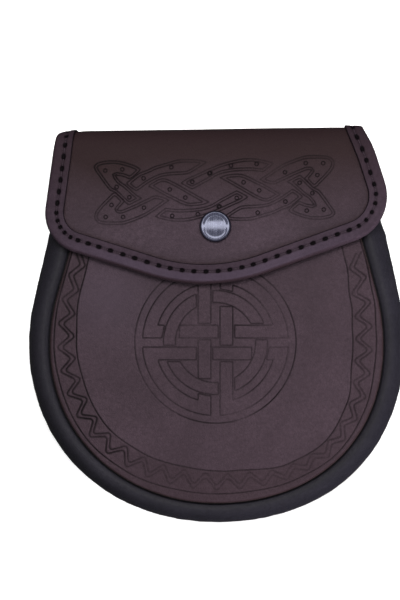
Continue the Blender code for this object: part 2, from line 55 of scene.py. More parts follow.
PATCH_HALF_WIDTH = 0.020
PATCH_TOP_Y = -0.0100
PATCH_BOTTOM_Y = -0.0605
BACK_TOP_RISE = 0.0132
BACK_SIDE_RISE = 0.0030
BACK_BOTTOM_RISE = 0.0040
RIM_STEPS = 360
CORNER_POINTS = 12
CORNER_CLEAR = 1.1
OUTLINE_STEP = 0.0010
SEAM_END = 0.99
SEAM_STEP = 0.0016
SEAM_INSET = 0.0032
SEAM_HALF_WIDTH = 0.00045
SEAM_DEPTH = 0.00030
BACK_SPACING = 0.0030
GROOVE_SHOULDER = 1.5
SHOULDER_RISE = 0.16
GROOVE_REACH = 0.0013
SAMPLE_STEP = 0.00012
EDGE_ROLL = (0.0, 0.076, 0.293, 0.617, 1.0)
EDGE_CLEAR = 0.4
GROOVE_CLEAR = 0.5
EVEN_ROW = math.sqrt(0.75)
TRIANGLE_TOLERANCE = 1e-7
LEAST_TOOLING = 0.0001
WELD = 0.000002
SLOPE_STEP = 0.0005
PLUM_BROWN = (0.0462, 0.0306, 0.0402, 1.0)
# Tints of the stain and shading share: deep dye and painted shade above zero, painted light below
# zero.
DEEP_DYE_AND_SHADE = (0.41, 0.34, 0.29)
PAINTED_LIGHT_TINT = (1.52, 1.68, 1.80)
DYE_CLOUDS = (0.84, 1.26)
DYE_FLECKS = 0.52
FLECK_SHARE = 0.70
CREASE_DYE = 0.45
CREASE_SHARE = 0.30
# Painted shade in cut lines, awl holes and creases: its tone, and how it fades.
PAINTED_SHADE_TONE = 0.06
PAINTED_SHADE_FADE = 0.6
NOISE_RANGE = (0.32, 0.68)
CLOUDS = {"scale": 26.0, "detail": 5.0, "roughness": 0.62}
FLECKS = {"scale": 520.0, "detail": 4.0, "roughness": 0.8}
PORES = {"scale": 2600.0, "detail": 3.0, "roughness": 0.7}
CLOUD_GLOSS = (-0.05, 0.05)
FLECK_GLOSS = (-0.04, 0.06)
CREASES_PER_GRAIN = 0.55
CREASE_DYE_WIDTH = 0.10
CREASE_WIDTH = 0.16
GRAIN_DOME = -0.6
CREASE_RISE = 0.8
GRAIN_STRENGTH = 0.55
GRAIN_SIZE = 0.00085
GRAIN_DEPTH = 0.00022
LEATHER_ROUGHNESS = 0.50
LEATHER_SHEEN = 0.12


def back_z(x, y):
    """Height of the back panel's outer face above the surface that the pouch lies on."""
    up = max(0.0, y - PATCH_TOP_Y) / (BACK_TOP_Y - PATCH_TOP_Y)
    down = max(0.0, PATCH_BOTTOM_Y - y) / (PATCH_BOTTOM_Y - (WIDEST_Y - PANEL_BELOW))
    out = max(0.0, abs(x) - PATCH_HALF_WIDTH) / (PANEL_HALF_WIDTH - PATCH_HALF_WIDTH)
    return BACK_TOP_RISE * up ** 2 + BACK_BOTTOM_RISE * down ** 2 + BACK_SIDE_RISE * out ** 2


def half_width(y, taper):
    """Half width of a panel above its widest line: an arc that runs into a straight taper."""
    slope = taper * PANEL_ABOVE / PANEL_HALF_WIDTH
    join = PANEL_ABOVE * slope / math.hypot(1.0, slope)
    rise = min(y - WIDEST_Y, join)
    arc = PANEL_HALF_WIDTH * math.sqrt(1.0 - (rise / PANEL_ABOVE) ** 2)
    return arc - taper * (y - WIDEST_Y - rise)


def swell(t):
    """Share of the fullness at a station: none at the bottom and the sides, most between."""
    return math.sin(math.pi * t / LOWER_ARC_SHARE) ** 2 if abs(t) < LOWER_ARC_SHARE else 0.0


def rim_point(t, taper, top_y):
    """Point on a panel's U-shaped rim, from -1 at the left of the mouth to 1 at its right."""
    side = math.copysign(1.0, t)
    share = abs(t)
    if share <= LOWER_ARC_SHARE:
        angle = share / LOWER_ARC_SHARE * math.pi / 2.0
        fuller = (FULLER_RIGHT if side > 0.0 else FULLER_LEFT) * swell(t)
        return Vector((side * (PANEL_HALF_WIDTH + fuller) * math.sin(angle),
                       WIDEST_Y - (PANEL_BELOW + fuller) * math.cos(angle)))
    rise = (share - LOWER_ARC_SHARE) / (1.0 - LOWER_ARC_SHARE)
    y = WIDEST_Y + (top_y - WIDEST_Y) * rise
    lean = MOUTH_LEAN * math.sin(math.pi * rise) ** 2 if side > 0.0 else 0.0
    return Vector((side * half_width(y, taper) + lean, y))


def rounded(corners, arc_points):
    """Polyline through corners (point, radius), each corner with a radius made an arc."""
    path = []
    for i, (corner, radius) in enumerate(corners):
        if radius == 0.0:
            path.append(corner)
            continue
        before = (corners[i - 1][0] - corner).normalized()
        after = (corners[(i + 1) % len(corners)][0] - corner).normalized()
        half = before.angle(after) / 2.0
        centre = corner + (before + after).normalized() * (radius / math.sin(half))
        start = corner + before * (radius / math.tan(half)) - centre
        finish = corner + after * (radius / math.tan(half)) - centre
        sweep = start.angle_signed(finish)
        for step in range(arc_points + 1):
            turn = Matrix.Rotation(-sweep * step / arc_points, 2)
            path.append(centre + turn @ start)
    return path


def panel_outline(taper, top_y):
    """Closed outline, anticlockwise: the U-shaped rim and a straight top edge."""
    rim = [rim_point(-1.0 + 2.0 * i / RIM_STEPS, taper, top_y) for i in range(RIM_STEPS + 1)]
    left = rim[0]
    right = rim[-1]
    corners = []
    for point in rim:
        to_corner = min((point - left).length, (point - right).length)
        if to_corner == 0.0:
            corners.append((point, MOUTH_CORNER_RADIUS))
        elif to_corner > MOUTH_CORNER_RADIUS * CORNER_CLEAR:
            corners.append((point, 0.0))
    return even_path(rounded(corners, CORNER_POINTS), OUTLINE_STEP, True)


def even_path(path, step, closed):
    """The same polyline with its points an even step apart."""
    line = list(path) + [path[0]] if closed else list(path)
    lengths = [0.0]
    for start, finish in zip(line, line[1:]):
        lengths.append(lengths[-1] + (finish - start).length)
    count = max(2, round(lengths[-1] / step))
    even = []
    index = 0
    for i in range(count if closed else count + 1):
        target = lengths[-1] * i / count
        while index < len(line) - 2 and lengths[index + 1] < target:
            index += 1
        run = lengths[index + 1] - lengths[index]
        share = (target - lengths[index]) / run if run > 0.0 else 0.0
        even.append(line[index].lerp(line[index + 1], min(1.0, share)))
    return even


def heading(path, i, closed=False):
    """Direction of a path at one of its points."""
    after = path[(i + 1) % len(path)] if closed else path[min(i + 1, len(path) - 1)]
    before = path[i - 1] if closed else path[max(i - 1, 0)]
    return (after - before).normalized()


def beside(path, distance, closed):
    """The path moved sideways to its left by a distance."""
    moved = []
    for i, point in enumerate(path):
        run = heading(path, i, closed)
        moved.append(point + Vector((-run.y, run.x)) * distance)
    return moved


def rings_round(path, distance, closed):
    """Closed rings that keep a distance from a path, its ends included."""
    left = beside(path, distance, closed)
    right = beside(path, -distance, closed)
    if closed:
        return [left, right]
    start = path[0] + (path[0] - path[1]).normalized() * distance
    finish = path[-1] + (path[-1] - path[-2]).normalized() * distance
    return [left + [finish] + right[::-1] + [start]]


def nearest(points):
    """Tree that finds the points nearest to a place, by their numbers."""
    tree = kdtree.KDTree(len(points))
    for i, point in enumerate(points):
        tree.insert(point.to_3d(), i)
    tree.balance()
    return tree


def sheet_face(outline, grooves, spacing, roll):
    """One face of a cut sheet: flat points, how deep each lies, its tooling, and triangles.

    A groove is a row of path, half width, depth (a function of the place) and closed.
    """
    points = []
    edges = []

    def draw(path, closed=True):
        first = len(points)
        points.extend(path)
        edges.extend((i, i + 1) for i in range(first, len(points) - 1))
        if closed:
            edges.append((len(points) - 1, first))

    marks = [(sample, half, depth(sample)) for path, half, depth, closed in grooves
             for sample in even_path(path, SAMPLE_STEP, closed)]
    tree = nearest([sample for sample, _, _ in marks])
    cut_edge = nearest(even_path(outline, SAMPLE_STEP * 2.0, True))
    for share in EDGE_ROLL:
        draw(beside(outline, roll * share, True))
    for path, half, _, closed in grooves:
        for reach in (half, half * GROOVE_SHOULDER):
            for ring in rings_round(path, reach, closed):
                draw(ring)
        draw(path, closed)
    low = Vector([min(values) for values in zip(*outline)])
    high = Vector([max(values) for values in zip(*outline)])
    row_step = spacing * EVEN_ROW
    for row in range(round((high.y - low.y) / row_step)):
        for column in range(round((high.x - low.x) / spacing)):
            spot = Vector((low.x + (column + 0.5 * (row % 2)) * spacing, low.y + row * row_step))
            if cut_edge.find(spot.to_3d())[2] < roll + spacing * EDGE_CLEAR:
                continue
            if marks and tree.find(spot.to_3d())[2] < spacing * GROOVE_CLEAR:
                continue
            points.append(spot)
    flat, _, triangles, *_ = geometry.delaunay_2d_cdt(
        points, edges, [], 1, TRIANGLE_TOLERANCE)
    used = sorted({i for triangle in triangles for i in triangle})
    number = {old: new for new, old in enumerate(used)}
    places = []
    for old in used:
        spot = flat[old].to_3d()
        gap = min(roll, cut_edge.find(spot)[2])
        down = roll - math.sqrt(max(0.0, roll ** 2 - (roll - gap) ** 2))
        cut_in = 0.0
        raised = 0.0
        for _, i, distance in tree.find_range(spot, GROOVE_REACH) if marks else ():
            _, half, depth = marks[i]
            away = distance / half
            cut_in = max(cut_in, depth * (1.0 - away))
            raised = max(raised, depth * SHOULDER_RISE * (1.0 - abs(away - GROOVE_SHOULDER)))
        places.append((flat[old], down, cut_in if cut_in > 0.0 else -raised))
    return places, [tuple(number[i] for i in triangle) for triangle in triangles]


def tooled_sheet(outline, grooves, spacing, thickness, place, stain_and_shading=None):
    """Closed leather sheet laid on the surface that place(point, down) gives."""
    roll = thickness / 2.0
    bm = bmesh.new()
    painted_shade_layer = bm.verts.layers.float.new("tooling_and_shade")
    stain_and_shading_layer = bm.verts.layers.float.new("stain_and_shading")
    deepest = max([depth(path[0]) for path, _, depth, _ in grooves] + [LEAST_TOOLING])
    for outer in (True, False):
        places, triangles = sheet_face(outline, grooves if outer else [], spacing, roll)
        verts = []
        for spot, down, tooling_and_shade in places:
            level = down + tooling_and_shade if outer else thickness - down
            vert = bm.verts.new(place(spot, level))
            # Painted shade in each cut, by its share of the deepest cut.
            vert[painted_shade_layer] = max(0.0, tooling_and_shade / deepest)
            # Stain and painted shading, from the piece's own function.
            vert[stain_and_shading_layer] = stain_and_shading(spot) if stain_and_shading and outer else 0.0
            verts.append(vert)
        for triangle in triangles:
            bm.faces.new([verts[i] for i in triangle])
    bmesh.ops.remove_doubles(bm, verts=bm.verts, dist=WELD)
    return bm


def in_scene(name, data):
    """Object with this data, in the scene."""
    made = bpy.data.objects.new(name, data)
    bpy.context.scene.collection.objects.link(made)
    return made


def add_piece(name, bm, material, slot, *nodes):
    """Shown piece from a closed mesh, riding on the pouch in place of its solids."""
    bmesh.ops.recalc_face_normals(bm, faces=bm.faces)
    mesh = bpy.data.meshes.new(name)
    bm.to_mesh(mesh)
    bm.free()
    mesh.shade_smooth()
    mesh.materials.append(material)
    piece = in_scene(name, mesh)
    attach(piece, "root")
    if nodes:
        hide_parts(*nodes)
    return piece


def node(tree, kind, settings, inputs):
    """Shader node with its settings, and its inputs set or linked."""
    made = tree.nodes.new(kind)
    for key, value in settings.items():
        setattr(made, key, value)
    for key, value in inputs.items():
        if isinstance(value, bpy.types.NodeSocket):
            tree.links.new(value, made.inputs[key])
        else:
            made.inputs[key].default_value = value
    return made


def speckle(tree, place, scale, detail, roughness=0.5):
    """Cloudy noise at a number of waves a metre."""
    return node(tree, "ShaderNodeTexNoise", {}, {
        "Vector": place, "Scale": scale, "Detail": detail, "Roughness": roughness}).outputs["Fac"]


def cells(tree, place, feature, scale):
    """Distance in a pattern of irregular cells, at a number of cells a metre."""
    return node(tree, "ShaderNodeTexVoronoi", {"feature": feature}, {
        "Vector": place, "Scale": scale}).outputs["Distance"]


def spread(tree, value, low, high, start=NOISE_RANGE[0], end=NOISE_RANGE[1]):
    """Values from start to end, the middle ones of a noise, spread over a range."""
    return node(tree, "ShaderNodeMapRange", {}, {
        "Value": value, "From Min": start, "From Max": end,
        "To Min": low, "To Max": high}).outputs["Result"]


def worked(tree, operation, *values):
    """Result of one operation on values and sockets."""
    return node(tree, "ShaderNodeMath", {"operation": operation},
                dict(enumerate(values))).outputs["Value"]


def painted(tree, layer):
    """A share that the mesh holds at each of its points."""
    return node(tree, "ShaderNodeAttribute", {"attribute_name": layer}, {}).outputs["Fac"]


def mixed(tree, factor, first, second):
    """Colour between two."""
    made = node(tree, "ShaderNodeMix", {"data_type": "RGBA"}, {0: factor, 6: first, 7: second})
    return made.outputs[2]


def tinted(colour, shares):
    """Colour with a share of each of its red, green and blue."""
    return [value * share for value, share in zip(colour, shares)] + [1.0]


def tone(colour, share):
    """Colour made darker or paler."""
    return tinted(colour, (share, share, share))


def new_material(name):
    """Material, its node tree, its shader, and the place on the piece."""
    material = bpy.data.materials.new(name)
    material.use_nodes = True
    tree = material.node_tree
    place = node(tree, "ShaderNodeTexCoord", {}, {}).outputs["Object"]
    return material, tree, tree.nodes["Principled BSDF"], place


def rub(tree, shader, roughness, *wears):
    """Lead a roughness into the shader, which each noise swings within its range."""
    for value, swing in wears:
        roughness = worked(tree, "ADD", roughness, spread(tree, value, *swing))
    tree.links.new(roughness, shader.inputs["Roughness"])


def dress(tree, shader, colour, height, strength, depth):
    """Lead a colour and a bump, from a height and its depth in metres, into the shader."""
    tree.links.new(colour, shader.inputs["Base Color"])
    bump = node(tree, "ShaderNodeBump", {}, {
        "Height": height, "Strength": strength, "Distance": depth})
    tree.links.new(bump.outputs["Normal"], shader.inputs["Normal"])


def leather(name, colour, grain_size, grain_depth, roughness, specular=LEATHER_SHEEN):
    """Dyed leather: pebbled grain, cloudy dye, painted shade in cuts and recesses, a rubbed, uneven
    gloss.

    A share above zero darkens: deep dye in real stains, painted shade elsewhere; below zero is
    painted light.
    """
    material, tree, shader, place = new_material(name)
    cloud = speckle(tree, place, **CLOUDS)
    fleck = speckle(tree, place, **FLECKS)
    pores = speckle(tree, place, **PORES)
    grain = cells(tree, place, "F1", 1.0 / grain_size)
    creases = cells(tree, place, "DISTANCE_TO_EDGE", CREASES_PER_GRAIN / grain_size)
    stain_and_shading = painted(tree, "stain_and_shading")
    dark, pale = DYE_CLOUDS
    dye = mixed(tree, spread(tree, cloud, 0.0, 1.0), tone(colour, dark), tone(colour, pale))
    for share, shade in (
            (spread(tree, fleck, 0.0, FLECK_SHARE), tone(colour, DYE_FLECKS)),
            (spread(tree, creases, CREASE_SHARE, 0.0, 0.0, CREASE_DYE_WIDTH),
             tone(colour, CREASE_DYE)),
            # Deep dye and painted shade above zero; painted light below zero.
            (stain_and_shading, tinted(colour, DEEP_DYE_AND_SHADE)),
            (worked(tree, "MULTIPLY", stain_and_shading, -1.0), tinted(colour, PAINTED_LIGHT_TINT)),
            # Painted shade in cut lines, awl holes and creases.
            (worked(tree, "POWER", painted(tree, "tooling_and_shade"), PAINTED_SHADE_FADE),
             tone(colour, PAINTED_SHADE_TONE))):
        dye = mixed(tree, share, dye, shade)
    rub(tree, shader, roughness, (cloud, CLOUD_GLOSS), (fleck, FLECK_GLOSS))
    shader.inputs["Specular IOR Level"].default_value = specular
    height = worked(tree, "ADD", worked(tree, "MULTIPLY_ADD", grain, GRAIN_DOME, pores),
                    spread(tree, creases, 0.0, CREASE_RISE, 0.0, CREASE_WIDTH))
    dress(tree, shader, dye, height, GRAIN_STRENGTH, grain_depth)
    return material


def steady(depth):
    """A groove's depth that is the same all along it."""
    return lambda spot: depth


def face_normal(height, spot):
    """Direction square to a panel's face, whose height over x and y is given."""
    x, y = spot
    step = SLOPE_STEP
    return Vector((height(x - step, y) - height(x + step, y),
                   height(x, y - step) - height(x, y + step), 2.0 * step)).normalized()


def on_back(spot, down):
    """Place on the back panel, down from its outer face."""
    return Vector((*spot, back_z(*spot))) + face_normal(back_z, spot) * down


back_seam = [rim_point(SEAM_END * (2.0 * i / RIM_STEPS - 1.0), BACK_TAPER, BACK_TOP_Y)
             for i in range(RIM_STEPS + 1)]
back_seam = even_path(beside(back_seam, SEAM_INSET, False), SEAM_STEP, False)
tooled_leather = leather("tooled_leather", PLUM_BROWN, GRAIN_SIZE, GRAIN_DEPTH, LEATHER_ROUGHNESS)
back_tooling = [(back_seam, SEAM_HALF_WIDTH, steady(SEAM_DEPTH), False)]
add_piece("back_leather", tooled_sheet(
    panel_outline(BACK_TAPER, BACK_TOP_Y), back_tooling, BACK_SPACING, PANEL_THICKNESS, on_back),
    tooled_leather, "tooled_leather", "back_panel")

# -------------------------------------------------------------------------- gusset
# Side and bottom of the pouch in one band of soft black leather, bent in a U between the two
# panels.  It bulges out round the front and puckers slightly where it turns the corners.
GUSSET_THICKNESS = 0.0014
PIECE_GAP = 0.0003
FRONT_TAPER = 0.29
FRONT_TOP_Y = 0.0875
BELLY_Z = 0.045
FRONT_SIDE_DROP = 0.008
FRONT_BOTTOM_DROP = 0.009
FRONT_TOP_DROP = 0.009
GUSSET_BULGE_BOTTOM = 0.0104
GUSSET_BULGE_SIDE = 0.0115
GUSSET_BULGE_MOUTH = 0.0070
GUSSET_FULLER = 0.0007
BULGE_FADE_Y = 0.045
FLANGE_WIDTH = 0.0055
GUSSET_LENGTH_STEPS = 300
GUSSET_SPLITS = 4
GUSSET_SEAT = 1.02
STATION_STEP = 0.01
ROW_STEP = 0.004
PUCKER = 0.00022
PUCKERS = (
    {"share": 1.0, "along": 46.0, "across": 0.10, "seed": 0.0},
    {"share": 0.5, "along": 110.0, "across": 0.17, "seed": 4.0},
)
# Painted shade in the gusset's crease beside each panel, and how far out it reaches.
CREASE_SHADE_END = 1.9
GUSSET_GRAIN = 0.0007
GUSSET_GRAIN_DEPTH = 0.00013
GUSSET_ROUGHNESS = 0.45
GUSSET_SHEEN = 0.27
GUSSET_SECTION = (
    {"out": 0.00, "rise": 1.00},
    {"out": 0.15, "rise": 1.05},
    {"out": 0.36, "rise": 1.10},
    {"out": 0.61, "rise": 0.99},
    {"out": 0.83, "rise": 0.72},
    {"out": 0.96, "rise": 0.37},
    {"out": 1.00, "rise": 0.00},
)
SOFT_BLACK = (0.0158, 0.0142, 0.0206, 1.0)


def front_z(x, y):
    """Height of the front panel's outer face."""
    side = FRONT_SIDE_DROP * (x / PANEL_HALF_WIDTH) ** 2
    if y < WIDEST_Y:
        end = FRONT_BOTTOM_DROP * ((y - WIDEST_Y) / PANEL_BELOW) ** 2
    else:
        end = FRONT_TOP_DROP * ((y - WIDEST_Y) / (FRONT_TOP_Y - WIDEST_Y)) ** 2
    return BELLY_Z - side - end


def gusset_bulge(y, lower):
    """How far the gusset stands out past the panels at this height."""
    if lower:
        share = max(0.0, (WIDEST_Y - y) / PANEL_BELOW)
        return GUSSET_BULGE_SIDE + (GUSSET_BULGE_BOTTOM - GUSSET_BULGE_SIDE) * share
    share = max(0.0, (y - BULGE_FADE_Y) / (FRONT_TOP_Y - BULGE_FADE_Y))
    return GUSSET_BULGE_SIDE + (GUSSET_BULGE_MOUTH - GUSSET_BULGE_SIDE) * share


def gusset_middle(t):
    """Middle of the gusset's wall at one station, from the front flange to the back one."""
    front = rim_point(t, FRONT_TAPER, FRONT_TOP_Y)
    back = rim_point(t, BACK_TAPER, BACK_TOP_Y)
    later = rim_point(min(1.0, t + STATION_STEP), FRONT_TAPER, FRONT_TOP_Y)
    earlier = rim_point(max(-1.0, t - STATION_STEP), FRONT_TAPER, FRONT_TOP_Y)
    along = (later - earlier).normalized()
    outward = Vector((along.y, -along.x))
    seat = PANEL_THICKNESS * GUSSET_SEAT + PIECE_GAP + GUSSET_THICKNESS / 2.0
    front_level = front_z(*front) - seat
    back_level = back_z(*back) + seat
    middle = (front_level + back_level) / 2.0
    half = (front_level - back_level) / 2.0
    bulge = gusset_bulge(front.y, abs(t) <= LOWER_ARC_SHARE)
    bulge += GUSSET_FULLER * swell(t) - GUSSET_THICKNESS / 2.0
    inner_front = front - outward * FLANGE_WIDTH
    inner_back = back - outward * FLANGE_WIDTH
    points = [Vector((*inner_front, front_z(*inner_front) - seat))]
    for sign, rows in ((1.0, GUSSET_SECTION), (-1.0, GUSSET_SECTION[-2::-1])):
        for row in rows:
            share = (1.0 - sign * row["rise"]) / 2.0
            base = front.lerp(back, min(1.0, max(0.0, share)))
            place = base + outward * (bulge * row["out"])
            points.append(Vector((*place, middle + sign * row["rise"] * half)))
    points.append(Vector((*inner_back, back_z(*inner_back) + seat)))
    return points


def curved(points, splits):
    """Smooth curve through points: a spline that splits each span evenly."""
    last = len(points) - 1
    path = []
    for i in range(last):
        a = points[max(i - 1, 0)]
        b = points[i]
        c = points[i + 1]
        d = points[min(i + 2, last)]
        for j in range(splits):
            t = j / splits
            path.append((b * 2.0 + (c - a) * t + (a * 2.0 - b * 5.0 + c * 4.0 - d) * t ** 2
                         + (b * 3.0 - a - c * 3.0 + d) * t ** 3) / 2.0)
    path.append(points[last])
    return path


def skin(rows, marks=None):
    """Closed skin: a grid bent to rows of points round a section, its open ends capped.

    Marks give each point its share of painted shade, and of stain and painted shading.
    """
    along = len(rows) - 1
    around = len(rows[0])
    bm = bmesh.new()
    painted_shade_layer = bm.verts.layers.float.new("tooling_and_shade")
    stain_and_shading_layer = bm.verts.layers.float.new("stain_and_shading")
    bmesh.ops.create_grid(bm, x_segments=along, y_segments=around, size=0.5)
    for vert in bm.verts:
        i = round((vert.co.x + 0.5) * along)
        j = round((vert.co.y + 0.5) * around) % around
        vert.co = rows[i][j]
        if marks:
            vert[painted_shade_layer], vert[stain_and_shading_layer] = marks[i][j]
    bmesh.ops.remove_doubles(bm, verts=bm.verts, dist=WELD / 2.0)
    open_ends = [edge for edge in bm.edges if edge.is_boundary]
    if open_ends:
        bmesh.ops.holes_fill(bm, edges=open_ends, sides=0)
    return bm


def gusset_row(t):
    """Closed section of the gusset at one station: its outer face, then its inner one."""
    middle = curved(gusset_middle(t), GUSSET_SPLITS)
    ahead = curved(gusset_middle(min(1.0, t + ROW_STEP)), GUSSET_SPLITS)
    behind = curved(gusset_middle(max(-1.0, t - ROW_STEP)), GUSSET_SPLITS)
    outer = []
    inner = []
    for i, point in enumerate(middle):
        face = heading(middle, i).cross(ahead[i] - behind[i]).normalized()
        bulging = math.sin(math.pi * i / (len(middle) - 1)) ** 2
        ripple = sum(
            row["share"] * noise.noise(Vector((t * row["along"], i * row["across"], row["seed"])))
            for row in PUCKERS)
        wave = face * (PUCKER * bulging * ripple)
        outer.append(point + face * (GUSSET_THICKNESS / 2.0) + wave)
        inner.append(point - face * (GUSSET_THICKNESS / 2.0) + wave)
    return outer + inner[::-1]


def crease_shade(count):
    """Painted shade in the crease beside each panel: marks for one section of the gusset."""
    half = count // 2
    marks = []
    for i in range(count):
        from_edge = min(i, half - 1 - i) if i < half else half
        # Painted shade, full at the panel's edge and fading across the gusset.
        marks.append((min(1.0, max(0.0, CREASE_SHADE_END - from_edge / GUSSET_SPLITS)), 0.0))
    return marks


gusset_leather = leather("gusset_leather", SOFT_BLACK, GUSSET_GRAIN, GUSSET_GRAIN_DEPTH,
                         GUSSET_ROUGHNESS, GUSSET_SHEEN)
gusset_rows = [gusset_row(-1.0 + 2.0 * i / GUSSET_LENGTH_STEPS)
               for i in range(GUSSET_LENGTH_STEPS + 1)]
gusset_crease_shade = [crease_shade(len(row)) for row in gusset_rows]
add_piece("gusset_leather_band", skin(gusset_rows, gusset_crease_shade), gusset_leather,
          "gusset_leather", "gusset")

# --------------------------------------------------------------------- front panel
# Front of the pouch: the same leather, slightly crowned.  Its border and its round knot are
# cut with a swivel knife and pressed with a modeller, and painted shade darkens the lines.
FRONT_SPACING = 0.0024
LINE_HALF_WIDTH = 0.00056
LINE_DEPTH = 0.00062
LINE_STEP = 0.0008
ARC_STEPS = 8
BORDER_RUN = 500
BORDER_LINES = (
    {"t": -0.86, "outer": 0.0012, "inner": 0.0100},
    {"t": -0.73, "outer": 0.0014, "inner": 0.0114},
    {"t": -0.60, "outer": 0.0022, "inner": 0.0142},
    {"t": -0.47, "outer": 0.0030, "inner": 0.0156},
    {"t": -0.34, "outer": 0.0028, "inner": 0.0154},
    {"t": -0.22, "outer": 0.0039, "inner": 0.0168},
    {"t": -0.08, "outer": 0.0052, "inner": 0.0180},
    {"t": 0.05, "outer": 0.0052, "inner": 0.0172},
    {"t": 0.19, "outer": 0.0041, "inner": 0.0134},
    {"t": 0.30, "outer": 0.0028, "inner": 0.0119},
    {"t": 0.42, "outer": 0.0034, "inner": 0.0136},
    {"t": 0.53, "outer": 0.0042, "inner": 0.0166},
    {"t": 0.62, "outer": 0.0037, "inner": 0.0164},
    {"t": 0.70, "outer": 0.0022, "inner": 0.0146},
    {"t": 0.78, "outer": 0.0010, "inner": 0.0117},
    {"t": 0.86, "outer": 0.0010, "inner": 0.0110},
)
ZIGZAG_PITCH = 0.0136
ZIGZAG_FIRST_CREST = 0.0559
ZIGZAG_CREST = 0.0008
ZIGZAG_TROUGH = 0.0027
ZIGZAG_STRAP = 0.0028
ZIGZAG_CORNER = 0.0014
ZIGZAG_HALF_WIDTH = 0.00074
ZIGZAG_CORNER_POINTS = 4
ZIGZAG_STEP = LINE_STEP * 0.7
ZIGZAG_TURNS = 60
ZIGZAG_END_GAP = 0.028
ZIGZAG_PRESS = 0.84
BORDER_END = 0.90
BORDER_HAND = {"level": 0.88, "swing": 0.6, "scale": 90.0, "seed": 2.0}
CUT_HAND = {"level": 0.76, "swing": 0.8, "scale": 45.0, "seed": 0.0}
SURFACE_HAND = {"level": 0.0, "scale": 38.0, "seed": 0.3}
BOTTOM_FADE = 0.80
BOTTOM_FADE_Y = -0.083
BOTTOM_FADE_REACH = 0.022
BOTTOM_FADE_REACH_RIGHT = 0.044
BOTTOM_FADE_START_X = -0.056
BOTTOM_FADE_RUN = 0.014
RIGHT_FADE = 0.48
LINE_LEAST = 0.35
EMBLEM = Vector((-0.0007, -0.0099))
EMBLEM_RADIUS = 0.0431
EMBLEM_DEPTH = 0.00046
EMBLEM_PRESS = Vector((-0.55, 0.85))
CIRCLE_PRESS = Vector((0.80, 0.50))
PRESS_LEVEL = 0.84
PRESS_CHANGE = 0.28
STRAND_OUTER = 0.0390
STRAND_INNER = 0.0321
RING_INNER = 0.0214
RING_OUTER = 0.0278
BAR_INNER = 0.00245
BAR_OUTER = 0.00925
BAR_END = 0.0193
UNDER_GAP = 0.0010
STAIN_EDGE = 0.0016
# Painted shade along the rim, in the crease beside the gusset: how far in it reaches.
RIM_SHADE_REACH = 0.0011
BORDER_STAIN = 0.14
BOTTOM_STAIN = 0.20
BOTTOM_STAIN_MIDDLE = 0.08
BOTTOM_STAIN_REACH = 0.26
FRONT_UNEVEN = 0.00018
# A pool of painted light at the upper left of the front: strength, place and reach.
PAINTED_LIGHT = 0.32
PAINTED_LIGHT_PLACE = Vector((-0.058, 0.016))
PAINTED_LIGHT_REACH = 0.024


def eased(share):
    """Share that leaves 0 and comes to 1 gently."""
    return share * share * (3.0 - 2.0 * share)


def table_value(rows, key, by, at):
    """Value of a table's column at a place, smoothed between its rows."""
    at = min(max(at, rows[0][by]), rows[-1][by])
    for low, high in zip(rows, rows[1:]):
        if at <= high[by]:
            share = eased((at - low[by]) / (high[by] - low[by]))
            return low[key] + (high[key] - low[key]) * share
    return rows[-1][key]


def front_rim():
    """Points along the front's rim as rows of t, distance, point and inward direction."""
    rows = []
    distance = 0.0
    for i in range(BORDER_RUN + 1):
        t = -1.0 + 2.0 * i / BORDER_RUN
        point = rim_point(t, FRONT_TAPER, FRONT_TOP_Y)
        if rows:
            distance += (point - rows[-1][2]).length
        rows.append((t, distance, point))
    rim = [row[2] for row in rows]
    inner = beside(rim, 1.0, False)
    return [(t, run, point, inside - point) for (t, run, point), inside in zip(rows, inner)]


rim_rows = front_rim()


def rim_at(distance, inset):
    """Place inside the rim: a distance along it and an inset from it."""
    for low, high in zip(rim_rows, rim_rows[1:]):
        if distance <= high[1]:
            share = (distance - low[1]) / (high[1] - low[1])
            point = low[2].lerp(high[2], share)
            inward = low[3].lerp(high[3], share).normalized()
            t = low[0] + (high[0] - low[0]) * share
            return point + inward * inset(t)
    return rim_rows[-1][2]


def uneven(spot, level, swing, scale, seed):
    """Hand work: a level that swings from place to place, at a scale in waves a metre."""
    return level + swing * noise.noise(Vector((spot.x, spot.y, seed)) * scale)


def border_depth(spot):
    """The border is pressed hard down the left, less at the right and faintly at the bottom."""
    reach = BOTTOM_FADE_REACH_RIGHT if spot.x > 0.0 else BOTTOM_FADE_REACH
    inside = max(0.0, min(1.0, (spot.x - BOTTOM_FADE_START_X) / BOTTOM_FADE_RUN))
    bottom = inside * math.exp(-(max(0.0, spot.y - BOTTOM_FADE_Y) / reach) ** 2)
    right = RIGHT_FADE if spot.x > 0.0 else 0.0
    return LINE_DEPTH * uneven(spot, **BORDER_HAND) * (1.0 - max(BOTTOM_FADE * bottom, right))


def zigzag_depth(spot):
    """The zigzag's broad lines are pressed a little less deep than the cut ones."""
    return ZIGZAG_PRESS * border_depth(spot)


def line_depth(spot):
    """The two lines along the border fade less than the zigzag between them."""
    return LINE_DEPTH * LINE_LEAST + (1.0 - LINE_LEAST) * border_depth(spot)


